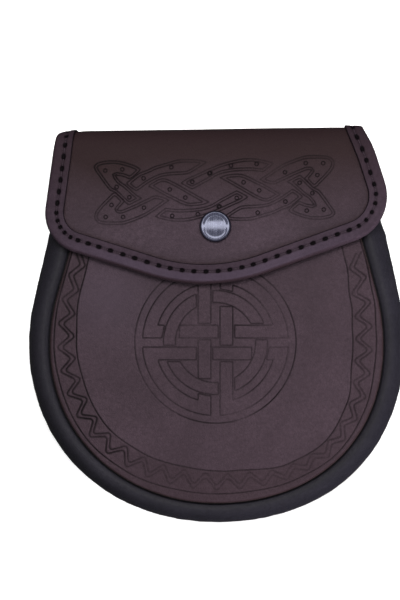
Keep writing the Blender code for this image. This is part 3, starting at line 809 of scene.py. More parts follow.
def border_lines():
    """The border: a line along each of its edges, and a zigzag strap between them."""
    lines = []
    for edge in ("outer", "inner"):
        path = [point + inward * table_value(BORDER_LINES, edge, "t", t)
                for t, _, point, inward in rim_rows if abs(t) < BORDER_END]
        lines.append((even_path(path, LINE_STEP, False), LINE_HALF_WIDTH, line_depth, False))
    for shift in (-ZIGZAG_STRAP / 2.0, ZIGZAG_STRAP / 2.0):
        places = []
        for i in range(ZIGZAG_TURNS):
            run = ZIGZAG_FIRST_CREST + (i / 2.0 - 2.0) * ZIGZAG_PITCH
            if not ZIGZAG_END_GAP < run < rim_rows[-1][1] - ZIGZAG_END_GAP:
                continue
            edge, margin = "outer", ZIGZAG_TROUGH
            if i % 2 == 0:
                edge, margin = "inner", -ZIGZAG_CREST - ZIGZAG_STRAP / 2.0
            places.append(rim_at(
                run, lambda t: table_value(BORDER_LINES, edge, "t", t) + margin + shift))
        corners = [(place, ZIGZAG_CORNER) for place in places]
        corners[0] = (places[0], 0.0)
        corners[-1] = (places[-1], 0.0)
        path = even_path(rounded(corners, ZIGZAG_CORNER_POINTS), ZIGZAG_STEP, False)
        lines.append((path, ZIGZAG_HALF_WIDTH, zigzag_depth, False))
    return lines


def arc(radius, start, finish):
    """Arc round the emblem's centre, between two angles."""
    steps = max(ARC_STEPS, round(abs(finish - start) * radius / LINE_STEP))
    return [Vector((math.cos(start + (finish - start) * i / steps),
                    math.sin(start + (finish - start) * i / steps))) * radius
            for i in range(steps + 1)]


def knot_quarter():
    """Closed outlines of the strands of one quarter, each ending where it goes under."""
    bar = [Vector((-BAR_END, BAR_INNER)), Vector((BAR_INNER - UNDER_GAP, BAR_INNER)),
           Vector((BAR_INNER - UNDER_GAP, BAR_OUTER)), Vector((-BAR_END, BAR_OUTER))]
    petal = arc(STRAND_OUTER, math.acos(BAR_INNER / STRAND_OUTER),
                math.asin(BAR_INNER / STRAND_OUTER))
    petal += [Vector((BAR_OUTER + UNDER_GAP, BAR_INNER)), Vector((BAR_OUTER + UNDER_GAP, BAR_OUTER))]
    petal += arc(STRAND_INNER, math.asin(BAR_OUTER / STRAND_INNER),
                 math.acos(BAR_OUTER / STRAND_INNER))
    for x in (BAR_OUTER, BAR_INNER):
        petal.append(Vector((x, math.sqrt(RING_OUTER ** 2 - x ** 2) + UNDER_GAP)))
    start = UNDER_GAP - BAR_INNER
    finish = BAR_OUTER + UNDER_GAP
    ring = arc(RING_OUTER, math.acos(start / RING_OUTER), math.asin(finish / RING_OUTER))
    ring += arc(RING_INNER, math.asin(finish / RING_INNER), math.acos(start / RING_INNER))
    return [bar, petal, ring]


def emblem_cut(depth, press):
    """The emblem's lines are pressed harder towards one of its sides."""
    def at(spot):
        towards = press.dot(spot - EMBLEM) / EMBLEM_RADIUS
        return depth * uneven(spot, **CUT_HAND) * (PRESS_LEVEL + PRESS_CHANGE * towards)
    return at


def emblem_lines():
    """Round knot: four petals that run into crossing bars, woven with a ring, in a circle."""
    lines = []
    for turn in range(4):
        turned_by = Matrix.Rotation(-math.pi / 2.0 * turn, 2)
        for cell in knot_quarter():
            path = even_path([EMBLEM + turned_by @ point for point in cell], LINE_STEP, True)
            lines.append((path, LINE_HALF_WIDTH, emblem_cut(EMBLEM_DEPTH, EMBLEM_PRESS), True))
    circle = arc(EMBLEM_RADIUS, 0.0, 2.0 * math.pi)[:-1]
    lines.append(([EMBLEM + point for point in circle], LINE_HALF_WIDTH,
                  emblem_cut(LINE_DEPTH, CIRCLE_PRESS), True))
    return lines


rim_tree = nearest([row[2] for row in rim_rows])


def front_stain_and_shading(spot):
    """Dye darker in the border, most round the bottom, painted shade in the rim's crease, and
    painted light at the upper left.
    """
    _, number, inset = rim_tree.find(spot.to_3d())
    t = rim_rows[number][0]
    inside = (table_value(BORDER_LINES, "inner", "t", t) - inset) / STAIN_EDGE
    band = min(1.0, max(0.0, 0.5 + inside))
    # Painted shade along the rim, in the crease beside the gusset.
    rim = math.exp(-(inset / RIM_SHADE_REACH) ** 2)
    bottom = math.exp(-((t - BOTTOM_STAIN_MIDDLE) / BOTTOM_STAIN_REACH) ** 2)
    # A pool of painted light at the upper left, inside the border.
    across = (spot - PAINTED_LIGHT_PLACE) / PAINTED_LIGHT_REACH
    return (max(band * (BORDER_STAIN + BOTTOM_STAIN * bottom), rim)
            - PAINTED_LIGHT * (1.0 - band) * math.exp(-across.length_squared))


def on_front(spot, down):
    """Place on the front panel, down from its outer face."""
    level = front_z(*spot) + uneven(spot, swing=FRONT_UNEVEN, **SURFACE_HAND)
    return Vector((*spot, level)) - face_normal(front_z, spot) * down


add_piece("front_leather", tooled_sheet(
    panel_outline(FRONT_TAPER, FRONT_TOP_Y), border_lines() + emblem_lines(), FRONT_SPACING,
    PANEL_THICKNESS, on_front, front_stain_and_shading), tooled_leather, "tooled_leather", "front_panel")

# ------------------------------------------------------------- press fastener's stud
# The stud is set through the front panel before the pouch is sewn up: a turned steel head
# with a post and a rivet cap inside, plated dark like the cap that closes over it.
GUNMETAL = (0.137, 0.141, 0.212, 1.0)
PLATE_CLOUDS = (0.84, 1.16)
BRUSHED = {"scale": 1.0, "detail": 4.0}
SCRATCHES = {"scale": 260.0, "detail": 3.0}
BRUSHED_GLOSS = (-0.03, 0.04)
SCRATCHED_GLOSS = (-0.02, 0.03)
BRUSH_STRENGTH = 0.08
BRUSH_DEPTH = 0.00002
SNAP_ROUGHNESS = 0.09
SNAP_STREAKS = (1500.0, 90.0, 90.0)


def plated(name, colour, roughness, streaks):
    """Plated metal: a brushed grain one way, small scratches and an uneven gloss."""
    material, tree, shader, place = new_material(name)
    shader.inputs["Metallic"].default_value = 1.0
    drawn = node(tree, "ShaderNodeMapping", {}, {"Vector": place, "Scale": streaks})
    brushed = speckle(tree, drawn.outputs["Vector"], **BRUSHED)
    scratched = speckle(tree, place, **SCRATCHES)
    dark, pale = PLATE_CLOUDS
    finish = mixed(tree, spread(tree, brushed, 0.0, 1.0), tone(colour, dark), tone(colour, pale))
    rub(tree, shader, roughness, (brushed, BRUSHED_GLOSS), (scratched, SCRATCHED_GLOSS))
    dress(tree, shader, finish, brushed, BRUSH_STRENGTH, BRUSH_DEPTH)
    return material


snap_metal = plated("snap_metal", GUNMETAL, SNAP_ROUGHNESS, SNAP_STREAKS)
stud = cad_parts["snap_stud"]
stud.data.materials.clear()
stud.data.materials.append(snap_metal)

# ---------------------------------------------------------------------------- flap
# Flap in one stiff piece of leather: a tail down the back, a rolled fold over the top, and a
# front that is cut to a blunt V.  An interlaced knot is tooled across it, symmetric by half
# a turn, with a small punched ring in each visible stretch of its strands.
FLAP_THICKNESS = 0.0023
BINDING_THICKNESS = 0.0010
FOLD_Y = 0.0907
FOLD_TILT = 0.0145
FOLD_REACH = 0.0130
FOLD_LENGTH = 0.042
SHOULDER_START = 0.058
SHOULDER_END = 0.086
SHOULDER_DROOP = 0.0012
LEFT_SHOULDER_START = 0.068
LEFT_SHOULDER_DROOP = 0.0028
FLAP_STAND_OFF = 0.0036
SNAP_STAND_OFF = 0.00135
SNAP_DOME_RADIUS = 0.024
SNAP_X = -0.0007
SNAP_Y = 0.0519
FLAP_SPACING = 0.0021
FLAP_EDGE = (
    {"x": -0.0720, "along": -0.0580, "radius": 0.0},
    {"x": -0.0815, "along": -0.0440, "radius": 0.010},
    {"x": -0.0860, "along": -0.0160, "radius": 0.040},
    {"x": -0.0879, "along": 0.0000, "radius": 0.050},
    {"x": -0.0940, "along": 0.0453, "radius": 0.022},
    {"x": -0.0047, "along": 0.0746, "radius": 0.099},
    {"x": 0.0974, "along": 0.0392, "radius": 0.025},
    {"x": 0.0850, "along": 0.0000, "radius": 0.050},
    {"x": 0.0790, "along": -0.0140, "radius": 0.030},
    {"x": 0.0788, "along": -0.0440, "radius": 0.010},
    {"x": 0.0720, "along": -0.0580, "radius": 0.0},
)
EDGE_STEP = 0.0005
EDGE_CORNER_POINTS = 24
FLAP_OUTLINE_STEP = 0.0012
FLAP_UNEVEN = 0.00012
KNOT_CENTRE = Vector((-0.0012, 0.0714))
KNOT_INSET = 0.0013
KNOT_HALF_WIDTH = 0.00050
KNOT_DEPTH = 0.00060
KNOT_STEP = 0.0008
BOLD_LEAF = Vector((-0.0590, 0.0860))
BOLD_REACH = 0.0130
BOLD_PRESS = 0.95
LIGHT_PRESS = 0.70
# How much darker the leather is round the bold leaf.
LEAF_DARKENING = 0.22
CHART_SPLITS = 6
LOOP_SHARE = 0.93
RING_DOT_RADIUS = 0.00098
RING_DOT_HALF_WIDTH = KNOT_HALF_WIDTH * 0.85
RING_DOT_POINTS = 12
SHARP_TURN = math.radians(40.0)
# Each cell is one visible stretch of a strand, charted in millimetres from the knot's middle.
KNOT_CELLS = {
    "upper_leaf": (
        (24.3, 5.6), (27.8, 8.0), (31.0, 10.2), (34.2, 12.3), (36.9, 13.9), (40.6, 15.5),
        (44.9, 17.1), (48.7, 18.2), (54.0, 18.4), (59.4, 18.2), (62.0, 17.4), (63.6, 15.5),
        (63.8, 13.4), (62.6, 10.7), (59.9, 7.5), (57.2, 4.8), (54.5, 2.1), (52.9, 1.3),
        (48.7, 5.3), (48.1, 6.2), (50.3, 8.6), (52.1, 10.7), (49.7, 11.0), (46.0, 9.6),
        (41.7, 7.8), (38.5, 6.2), (35.3, 4.8), (33.2, 3.7), (31.0, 3.2), (26.7, 4.3)),
    "lower_leaf": (
        (38.8, 4.5), (45.7, 8.0), (48.7, 5.3), (52.9, 1.3), (55.6, 0.0), (58.3, -3.2),
        (61.0, -7.0), (63.6, -10.7), (64.2, -12.6), (62.6, -14.2), (59.4, -15.2),
        (55.6, -15.6), (51.9, -15.5), (48.1, -14.7), (43.9, -13.4), (40.6, -11.8),
        (39.6, -10.9), (40.9, -9.4), (43.3, -7.2), (45.2, -5.9), (48.1, -7.2), (51.3, -7.9),
        (53.2, -8.0), (50.8, -4.8), (48.1, -2.9), (46.0, -1.1), (43.9, 0.8), (41.7, 2.7)),
    "middle_strand": (
        (2.9, 6.5), (6.4, 7.8), (10.2, 8.3), (13.9, 8.4), (17.6, 7.2), (21.4, 5.3),
        (25.7, 3.2), (29.9, 0.8), (33.2, -1.1), (35.3, -2.0), (33.2, -3.5), (29.9, -5.3),
        (27.3, -6.0), (24.1, -5.1), (20.3, -3.2), (16.6, -1.1), (12.8, 1.1), (8.6, 3.5),
        (5.3, 5.3)),
    "upper_arch": (
        (31.4, 14.2), (28.9, 15.2), (25.7, 15.9), (21.9, 16.6), (17.6, 16.7), (13.9, 16.4),
        (9.6, 15.5), (5.9, 14.5), (2.1, 13.3), (-2.1, 11.5), (-6.4, 9.6), (-10.2, 7.8),
        (-13.9, 6.2), (-17.9, 3.7), (-15.0, 2.1), (-11.8, 0.5), (-9.1, 1.9), (-5.9, 3.7),
        (-3.2, 5.1), (-1.1, 6.4), (1.1, 7.8), (4.3, 9.0), (7.5, 9.7), (11.2, 10.2),
        (15.5, 10.4), (19.3, 10.5), (23.0, 10.2), (26.0, 9.8), (28.8, 12.0)),
    "lower_band": (
        (41.7, 0.4), (44.4, -1.3), (47.1, -3.7), (44.9, -5.2), (42.2, -7.4), (39.6, -9.1),
        (35.8, -10.5), (32.1, -12.3), (28.3, -13.5), (22.5, -15.2), (19.3, -16.0),
        (13.9, -16.2), (9.0, -16.0), (4.2, -14.8), (8.0, -12.3), (11.8, -9.9), (14.4, -8.7),
        (18.2, -8.3), (22.5, -8.1), (26.7, -7.6), (29.9, -6.7), (33.2, -5.1), (36.4, -3.2),
        (39.0, -1.3)),
}
KNOT_RINGS = (
    (8.8, 13.0), (22.5, 13.9), (-2.7, 8.8), (15.5, 4.1), (23.8, -0.2), (37.6, 9.5),
    (48.7, 14.4), (58.0, 14.4), (54.9, 8.0), (45.4, 3.9), (52.2, -1.6), (58.3, -10.4),
    (49.2, -11.0), (37.8, -6.2), (23.0, -12.1), (11.8, -4.3), (2.3, -9.1))
FLAP_BROWN = (0.0500, 0.0338, 0.0450, 1.0)
# Painted shade over the fold and down the flap's front, lifting soonest in mid-flap.
FOLD_SHADE_END = 0.047
FOLD_SHADE_FADE = 1.35
FOLD_LIGHT = 0.007
FOLD_LIGHT_X = -0.012
FOLD_LIGHT_REACH = 0.034
BINDING_WIDTH = 0.0104
# Painted shadow on the flap beside the binding's inner edge: strength and reach.
BINDING_SHADOW = 0.75
BINDING_SHADOW_REACH = 0.0009


def shoulder(x):
    """How far the fold falls in towards its two ends, later and more at the left."""
    start = LEFT_SHOULDER_START if x < 0.0 else SHOULDER_START
    droop = LEFT_SHOULDER_DROOP if x < 0.0 else SHOULDER_DROOP
    share = (abs(x) - start) / (SHOULDER_END - start)
    return droop * max(0.0, share) ** 2


def flap_front_z(x, y):
    """Height of the middle of the flap's leather in front of the pouch."""
    away = math.hypot(x - SNAP_X, y - SNAP_Y) / SNAP_DOME_RADIUS
    return front_z(x, y) + FLAP_STAND_OFF + SNAP_STAND_OFF * math.exp(-away ** 2)


def flap_tail_z(x, y):
    """Height of the middle of the flap's leather behind the pouch."""
    return back_z(x, y) - PIECE_GAP - FLAP_THICKNESS / 2.0


def flap_point(x, along):
    """Middle of the flap's leather: down the front, over the fold, or down the back."""
    line = FOLD_Y + FOLD_TILT * x
    if along >= 0.0:
        return Vector((x, line - along, flap_front_z(x, line - along)))
    if along <= -FOLD_LENGTH:
        y = line + along + FOLD_LENGTH
        return Vector((x, y, flap_tail_z(x, y)))
    step = SLOPE_STEP * 2.0
    start = Vector((line, flap_front_z(x, line)))
    finish = Vector((line, flap_tail_z(x, line)))
    handle = (FOLD_REACH - shoulder(x)) * 4.0 / 3.0
    leave = Vector((step, flap_front_z(x, line + step) - start.y)).normalized() * handle
    arrive = Vector((step, flap_tail_z(x, line + step) - finish.y)).normalized() * handle
    t = -along / FOLD_LENGTH
    s = 1.0 - t
    point = start * s ** 3 + (start + leave) * (3.0 * s * s * t)
    point += (finish + arrive) * (3.0 * s * t * t) + finish * t ** 3
    return Vector((x, point.x, point.y))


def flap_normal(x, along):
    """Outward direction of the flap's face."""
    step = SLOPE_STEP
    across = flap_point(x + step, along) - flap_point(x - step, along)
    down = flap_point(x, along + step) - flap_point(x, along - step)
    return down.cross(across).normalized()


def off_flap(spot, rise):
    """Place at a height over the middle of the flap's leather."""
    return flap_point(*spot) + flap_normal(*spot) * rise


def on_flap(spot, down):
    """Place on the flap, down from its outer face; its layout runs down from the fold."""
    return off_flap(spot, FLAP_THICKNESS / 2.0 - down
                    + uneven(spot, swing=FLAP_UNEVEN, **SURFACE_HAND))


def flap_edge():
    """Flap's outer edge as even rows of layout point and inward direction."""
    corners = [(Vector((row["x"], row["along"])), row["radius"]) for row in FLAP_EDGE]
    path = even_path(rounded(corners, EDGE_CORNER_POINTS), EDGE_STEP, False)
    inner = beside(path, -1.0, False)
    return [(point, inside - point) for point, inside in zip(path, inner)]


def with_corners(chart, step):
    """Closed smooth line through charted points, which keeps its sharp corners."""
    count = len(chart)
    sharp = []
    for i in range(count):
        before = chart[i] - chart[i - 1]
        after = chart[(i + 1) % count] - chart[i]
        if before.angle(after) > SHARP_TURN:
            sharp.append(i)
    path = []
    for start, finish in zip(sharp, sharp[1:] + [sharp[0] + count]):
        run = [chart[i % count] for i in range(start, finish + 1)]
        path += curved(run, CHART_SPLITS)[:-1]
    return even_path(path, step, True)


def area(path):
    """Area inside a closed line, below zero if it runs clockwise."""
    return sum(a.x * b.y - b.x * a.y for a, b in zip(path, path[1:] + path[:1])) / 2.0


def inner_line(path, distance):
    """Line inside a closed one at an even distance, without the loops that corners leave."""
    side = distance if area(path) > 0.0 else -distance
    tree = nearest(path)
    moved = [point for point in beside(path, side, True)
             if tree.find(point.to_3d())[2] > distance * LOOP_SHARE]
    return even_path(moved, KNOT_STEP, True)


def flap_spot(place):
    """Layout place on the flap's front of a point given on the photo's plane."""
    return Vector((place.x, FOLD_Y + FOLD_TILT * place.x - place.y))


def boldness(spot):
    """Share of the bold work round a place in the upper left leaf."""
    return math.exp(-((spot - flap_spot(BOLD_LEAF)).length / BOLD_REACH) ** 2)


def knot_depth(spot):
    """The knot is pressed hard at the upper left leaf, lightly round the fastener."""
    return KNOT_DEPTH * uneven(spot, **CUT_HAND) * (LIGHT_PRESS + BOLD_PRESS * boldness(spot))


def round_turn(count):
    """Angles evenly round a circle."""
    return [math.tau * i / count for i in range(count)]


def knot_lines():
    """Double lines along each strand and a ring in each cell, then again half a turn on."""
    lines = []
    for turn in (1.0, -1.0):
        for chart in KNOT_CELLS.values():
            cell = [KNOT_CENTRE + Vector(point) * (turn / 1000.0) for point in chart]
            outer = with_corners(cell, KNOT_STEP)
            for path in (outer, inner_line(outer, KNOT_INSET)):
                lines.append(([flap_spot(point) for point in path], KNOT_HALF_WIDTH,
                              knot_depth, True))
        for point in KNOT_RINGS:
            middle = KNOT_CENTRE + Vector(point) * (turn / 1000.0)
            ring = [middle + Vector((math.cos(a), math.sin(a))) * RING_DOT_RADIUS
                    for a in round_turn(RING_DOT_POINTS)]
            lines.append(([flap_spot(point) for point in ring], RING_DOT_HALF_WIDTH,
                          steady(KNOT_DEPTH), True))
    return lines


edge_rows = flap_edge()
edge_tree = nearest([point for point, _ in edge_rows])


def fold_shade(spot):
    """Share of painted shade down the flap: all over the fold, and gone soonest in mid-flap."""
    middle = math.exp(-((spot.x - FOLD_LIGHT_X) / FOLD_LIGHT_REACH) ** 2)
    end = FOLD_SHADE_END - FOLD_LIGHT * middle
    return min(1.0, max(0.0, 1.0 - spot.y / end)) ** FOLD_SHADE_FADE


def flap_stain_and_shading(spot):
    """Painted shade, darkest over the fold and lighter down the front, a painted shadow beside the
    binding, and darker round the bold leaf.
    """
    inset = edge_tree.find(spot.to_3d())[2]
    # Painted shadow on the flap beside the binding's inner edge.
    binding_shadow = BINDING_SHADOW * math.exp(-max(0.0, inset - BINDING_WIDTH) / BINDING_SHADOW_REACH)
    return max(binding_shadow, LEAF_DARKENING * boldness(spot) + fold_shade(spot))


flap_outline = [point + inward * (BINDING_THICKNESS + PIECE_GAP) for point, inward in edge_rows]
flap_outline = even_path(flap_outline, FLAP_OUTLINE_STEP, True)[::-1]
flap_leather = leather("flap_leather", FLAP_BROWN, GRAIN_SIZE, GRAIN_DEPTH, LEATHER_ROUGHNESS)
add_piece("flap_leather_sheet", tooled_sheet(
    flap_outline, knot_lines(), FLAP_SPACING, FLAP_THICKNESS, on_flap, flap_stain_and_shading),
    flap_leather, "flap_leather", "flap")

# ------------------------------------------------------------------- flap's binding
# Thin leather strip folded round the flap's cut edge and sewn through.  The stitches pull
# into awl holes in a shallow channel.  Painted shade darkens the holes, the channel and the
# pared inner edge, and painted shading runs across the front of the strip.
BINDING_INNER_WIDTH = 0.0090
BINDING_END = -0.0410
FLAP_CLEAR = FLAP_THICKNESS / 2.0 + PIECE_GAP
BINDING_ROLL = 0.9
BINDING_LIP = 0.0015
BINDING_UNEVEN = 0.00010
UNEVEN_ALONG = 160.0
UNEVEN_ACROSS = 240.0
PRESSED_ABOVE = FLAP_CLEAR * 1.05
EDGE_BEVEL = 0.0006
EDGE_BEVELS = ((0.0002, 0.00022), (0.0000, 0.0006))
STITCH_LINE = 0.0064
FIRST_STITCH = 0.0033
LAST_STITCH_GAP = 0.0095
STITCH_PITCHES = (
    {"run": 0.000, "pitch": 0.0063}, {"run": 0.070, "pitch": 0.0062},
    {"run": 0.080, "pitch": 0.0051}, {"run": 0.090, "pitch": 0.0057},
    {"run": 0.106, "pitch": 0.0059}, {"run": 0.114, "pitch": 0.0068},
    {"run": 0.400, "pitch": 0.0068},
)
HOLE_HALF_LENGTH = 0.00143
HOLE_HALF_WIDTH = 0.00098
HOLE_DEPTH = 0.00085
CHANNEL_HALF_WIDTH = 0.0007
CHANNEL_DEPTH = 0.00028
# Painted shade in the stitch channel, in the awl holes and along the pared inner edge.
CHANNEL_SHADE = 0.18
HOLE_SHADE = 3.0
INNER_EDGE_SHADE = 0.8
INNER_EDGE_SHADE_WIDTH = 0.0004
# The fold's painted shade, carried onto the binding.
BINDING_FOLD_SHADE = 0.62
# Painted shading across the binding's front by inset from its fold: a painted shadow on the roll, a
# painted highlight on the outer band, darker inside the stitch line.
BINDING_SHADING = (
    {"inset": 0.0000, "stain_and_shading": 0.95}, {"inset": 0.0009, "stain_and_shading": 0.50},
    {"inset": 0.0018, "stain_and_shading": -0.32}, {"inset": 0.0048, "stain_and_shading": -0.32},
    {"inset": 0.0062, "stain_and_shading": 0.20}, {"inset": 0.0104, "stain_and_shading": 0.20},
)
BINDING_SHADING_START = 0.044
BINDING_SHADING_FADE = 0.016
BINDING_TOP_POINTS = 34
BINDING_ROLL_POINTS = 10
BINDING_PLUM = (0.0440, 0.0296, 0.0425, 1.0)
BINDING_GRAIN = 0.0007
BINDING_GRAIN_DEPTH = 0.00014
BINDING_ROUGHNESS = 0.47
BINDING_SHEEN = 0.06


def binding_rows():
    """Rows along the flap's edge: distance, layout point and inward direction."""
    rows = []
    distance = 0.0
    kept = [row for row in edge_rows if row[0].y >= BINDING_END]
    for i, (point, inward) in enumerate(kept):
        if i:
            distance += (point - kept[i - 1][0]).length
        rows.append((distance, point, inward))
    return rows


def binding_profile():
    """Half section of the strip: insets from its fold, and heights over the flap's middle."""
    high = FLAP_CLEAR + BINDING_THICKNESS
    roll_width = high * BINDING_ROLL
    flat_width = BINDING_WIDTH - EDGE_BEVEL - roll_width
    half = []
    for i in range(BINDING_ROLL_POINTS):
        angle = math.pi / 2.0 * i / BINDING_ROLL_POINTS
        half.append((roll_width * (1.0 - math.cos(angle)), high * math.sin(angle)))
    for i in range(BINDING_TOP_POINTS + 1):
        half.append((roll_width + flat_width * i / BINDING_TOP_POINTS, high))
    half += [(BINDING_WIDTH - back, high - down) for back, down in EDGE_BEVELS]
    return half + [(BINDING_WIDTH, FLAP_CLEAR)]


def stitch_holes():
    """Distance along the edge of each awl hole: the hand sets them closer round the corner."""
    made = [FIRST_STITCH]
    while made[-1] < binding_line[-1][0] - LAST_STITCH_GAP:
        made.append(made[-1] + table_value(STITCH_PITCHES, "pitch", "run", made[-1]))
    return made


def hole_share(beyond, inset):
    """How far inside a stitch hole a place on the binding is: 1 in its middle, 0 outside."""
    away = math.hypot(beyond / HOLE_HALF_LENGTH, (inset - STITCH_LINE) / HOLE_HALF_WIDTH)
    return math.exp(-(away ** 4))


def binding_half(run, side):
    """Half a section at a distance along the edge: insets, heights and shares of painted shade."""
    beyond = min(abs(run - hole) for hole in holes)
    half = []
    for inset, height in binding_section:
        if side < 0.0:
            inset = min(inset, BINDING_INNER_WIDTH)
        hole = hole_share(beyond, inset)
        channel = math.exp(-((inset - STITCH_LINE) / CHANNEL_HALF_WIDTH) ** 2)
        if height > PRESSED_ABOVE:
            wave = noise.noise(Vector((run * UNEVEN_ALONG, inset * UNEVEN_ACROSS, side)))
            height -= HOLE_DEPTH * hole + CHANNEL_DEPTH * channel * (1.0 - hole)
            height += BINDING_UNEVEN * wave
        # Painted shade in the holes, the channel and along the pared inner edge.
        edge = INNER_EDGE_SHADE if inset > BINDING_WIDTH - INNER_EDGE_SHADE_WIDTH else 0.0
        painted_shade = max(hole * HOLE_SHADE, CHANNEL_SHADE * channel, edge)
        half.append((inset, side * height, min(1.0, painted_shade)))
    return half + [(BINDING_LIP, side * FLAP_CLEAR, 0.0)]


def binding_skin():
    """The strip's section run round the flap's edge, with its painted shade and its painted shading.
    """
    rows = []
    marks = []
    for run, point, inward in binding_line:
        # The fold's painted shade, and on the front the binding's painted shading.
        fold = BINDING_FOLD_SHADE * fold_shade(point)
        front = min(1.0, max(0.0, (point.y - BINDING_SHADING_START) / BINDING_SHADING_FADE))
        section = binding_half(run, 1.0) + binding_half(run, -1.0)[::-1]
        rows.append([off_flap(point + inward * inset, height) for inset, height, _ in section])
        marks.append([(painted_shade, fold + front * table_value(BINDING_SHADING, "stain_and_shading", "inset", inset))
                      for inset, _, painted_shade in section])
    return skin(rows, marks)


binding_line = binding_rows()
binding_section = binding_profile()
holes = stitch_holes()
binding_leather = leather("binding_leather", BINDING_PLUM, BINDING_GRAIN, BINDING_GRAIN_DEPTH,
                          BINDING_ROUGHNESS, BINDING_SHEEN)
add_piece("binding_strip", binding_skin(), binding_leather, "binding_leather", "flap_binding")

# -------------------------------------------------------------------------- stitches
# Waxed dark thread in saddle stitch: it dives into each awl hole and lies in the channel
# between them, round the flap's binding and along the back panel's edge.
THREAD_RADIUS = 0.00020
THREAD_SIDES = 6
THREAD_STEPS = 8
THREAD_DIVE = 0.0010
THREAD_LEVEL = 0.72
THREAD_BEND = 1.6
THREAD_CLEAR = 0.00125
THREAD_SEAT = THREAD_RADIUS * 0.35
THREAD_PLUM = (0.0340, 0.0235, 0.0315, 1.0)
THREAD_TWIST = (0.6, 1.7)
TWISTS_PER_METRE = 700.0
TWIST_WOBBLE = 1.5
TWIST_STRENGTH = 0.5
TWIST_DEPTH = 0.00008
THREAD_ROUGHNESS = 0.75
THREAD_SHEEN = 0.06
OFF_BINDING = Vector((0.3, 0.2, 0.93))
OFF_BACK = Vector((0.0, 0.0, 1.0))
BACK_PITCH = 0.0052
BACK_STITCH_SHARE = 0.9
BACK_LINE_STEP = 0.0002
BACK_SEAT = THREAD_RADIUS * 0.4


def add_stitch(bm, place, up):
    """One stitch from hole to hole: a round thread through the points place(share, sunk)."""
    path = []
    for i in range(THREAD_STEPS + 1):
        share = i / THREAD_STEPS
        dive = max(0.0, abs(share - 0.5) * 2.0 - THREAD_LEVEL) / (1.0 - THREAD_LEVEL)
        path.append(place(share, THREAD_DIVE * dive ** THREAD_BEND))
    rows = []
    for i, point in enumerate(path):
        run = heading(path, i)
        side = run.cross(up).normalized()
        over = side.cross(run)
        rows.append([point + (side * math.cos(a) + over * math.sin(a)) * THREAD_RADIUS
                     for a in round_turn(THREAD_SIDES)])
    stitch = skin(rows)
    mesh = bpy.data.meshes.new("stitch")
    stitch.to_mesh(mesh)
    stitch.free()
    bm.from_mesh(mesh)
    bpy.data.meshes.remove(mesh)


def thread_material():
    """Waxed thread, dyed with the leather: dark plum, with a fine twist and a low sheen."""
    material, tree, shader, place = new_material("waxed_thread")
    twist = node(tree, "ShaderNodeTexWave", {"wave_type": "BANDS", "bands_direction": "DIAGONAL"}, {
        "Vector": place, "Scale": TWISTS_PER_METRE, "Distortion": TWIST_WOBBLE}).outputs["Fac"]
    dark, pale = THREAD_TWIST
    dye = mixed(tree, twist, tone(THREAD_PLUM, dark), tone(THREAD_PLUM, pale))
    dress(tree, shader, dye, twist, TWIST_STRENGTH, TWIST_DEPTH)
    shader.inputs["Roughness"].default_value = THREAD_ROUGHNESS
    shader.inputs["Specular IOR Level"].default_value = THREAD_SHEEN
    return material


def binding_stitches():
    """A stitch on each side of the flap between every two holes of its binding."""
    bm = bmesh.new()
    last = len(binding_line) - 1
    top = FLAP_CLEAR + BINDING_THICKNESS - CHANNEL_DEPTH + THREAD_SEAT
    for start, finish in zip(holes, holes[1:]):
        for side in (1.0, -1.0):
            def place(share, sunk):
                run = start + THREAD_CLEAR + (finish - start - 2.0 * THREAD_CLEAR) * share
                _, point, inward = binding_line[min(last, round(run / EDGE_STEP))]
                return off_flap(point + inward * STITCH_LINE, side * (top - sunk))
            add_stitch(bm, place, OFF_BINDING)
    return bm


def back_stitches():
    """Even stitches in the sewn line of the back panel."""
    bm = bmesh.new()
    line = even_path(back_seam, BACK_LINE_STEP, False)
    per_stitch = round(BACK_PITCH / BACK_LINE_STEP)
    for number in range(len(line) // per_stitch - 1):
        def place(share, sunk):
            spot = line[min(len(line) - 1,
                            round((number + share * BACK_STITCH_SHARE) * per_stitch))]
            return on_back(spot, SEAM_DEPTH - BACK_SEAT + sunk)
        add_stitch(bm, place, OFF_BACK)
    return bm


waxed_thread = thread_material()
add_piece("binding_stitches", binding_stitches(), waxed_thread, "binding_leather")
add_piece("back_stitches", back_stitches(), waxed_thread, "tooled_leather")

# ---------------------------------------------------------- press fastener's cap
# Cap of the press fastener, set through the flap: a turned steel button with a brushed,
# faintly domed face in a rolled rim, and under the leather its barrel and socket.
CAP_MIDDLE = 0.002168
# Above the leather: the radius where each stretch ends, in millimetres, and its slope in degrees.
CAP_STRETCHES = (
    (1.00, -0.3), (2.00, -1.0), (3.00, -1.4), (4.00, -2.2), (5.00, -2.7), (5.65, -3.2),
    (5.72, -0.8), (5.80, 8.5), (6.00, 12.7), (6.25, 10.4), (6.50, 8.7), (6.80, 6.4),
    (7.10, 4.2), (7.24, 1.7), (7.34, -6.3), (7.48, -27.2), (7.65, -28.7), (7.85, -35.7),
    (8.05, -45.7), (8.23, -55.6), (8.38, -66.7), (8.47, -76.8))
# From the rim's foot inwards, round the barrel and the socket: radius and height in metres.
CAP_UNDERSIDE = (
    (0.00850, 0.000255), (0.00846, 0.00000), (0.00220, 0.00000), (0.00220, -0.00290),
    (0.00530, -0.00290), (0.00550, -0.00310), (0.00550, -0.00470), (0.00530, -0.00490),
    (0.00270, -0.00490), (0.00270, -0.00345), (0.00000, -0.00345))
CAP_TURNS = 96
CAP_SHARP = math.radians(38.0)


def cap_profile():
    """Half section of the cap from the middle of its face: radius and height."""
    profile = [(0.0, CAP_MIDDLE)]
    for millimetres, degrees in CAP_STRETCHES:
        radius, height = profile[-1]
        reach = millimetres / 1000.0
        profile.append((reach, height + (reach - radius) * math.tan(math.radians(degrees))))
    return profile + list(CAP_UNDERSIDE)


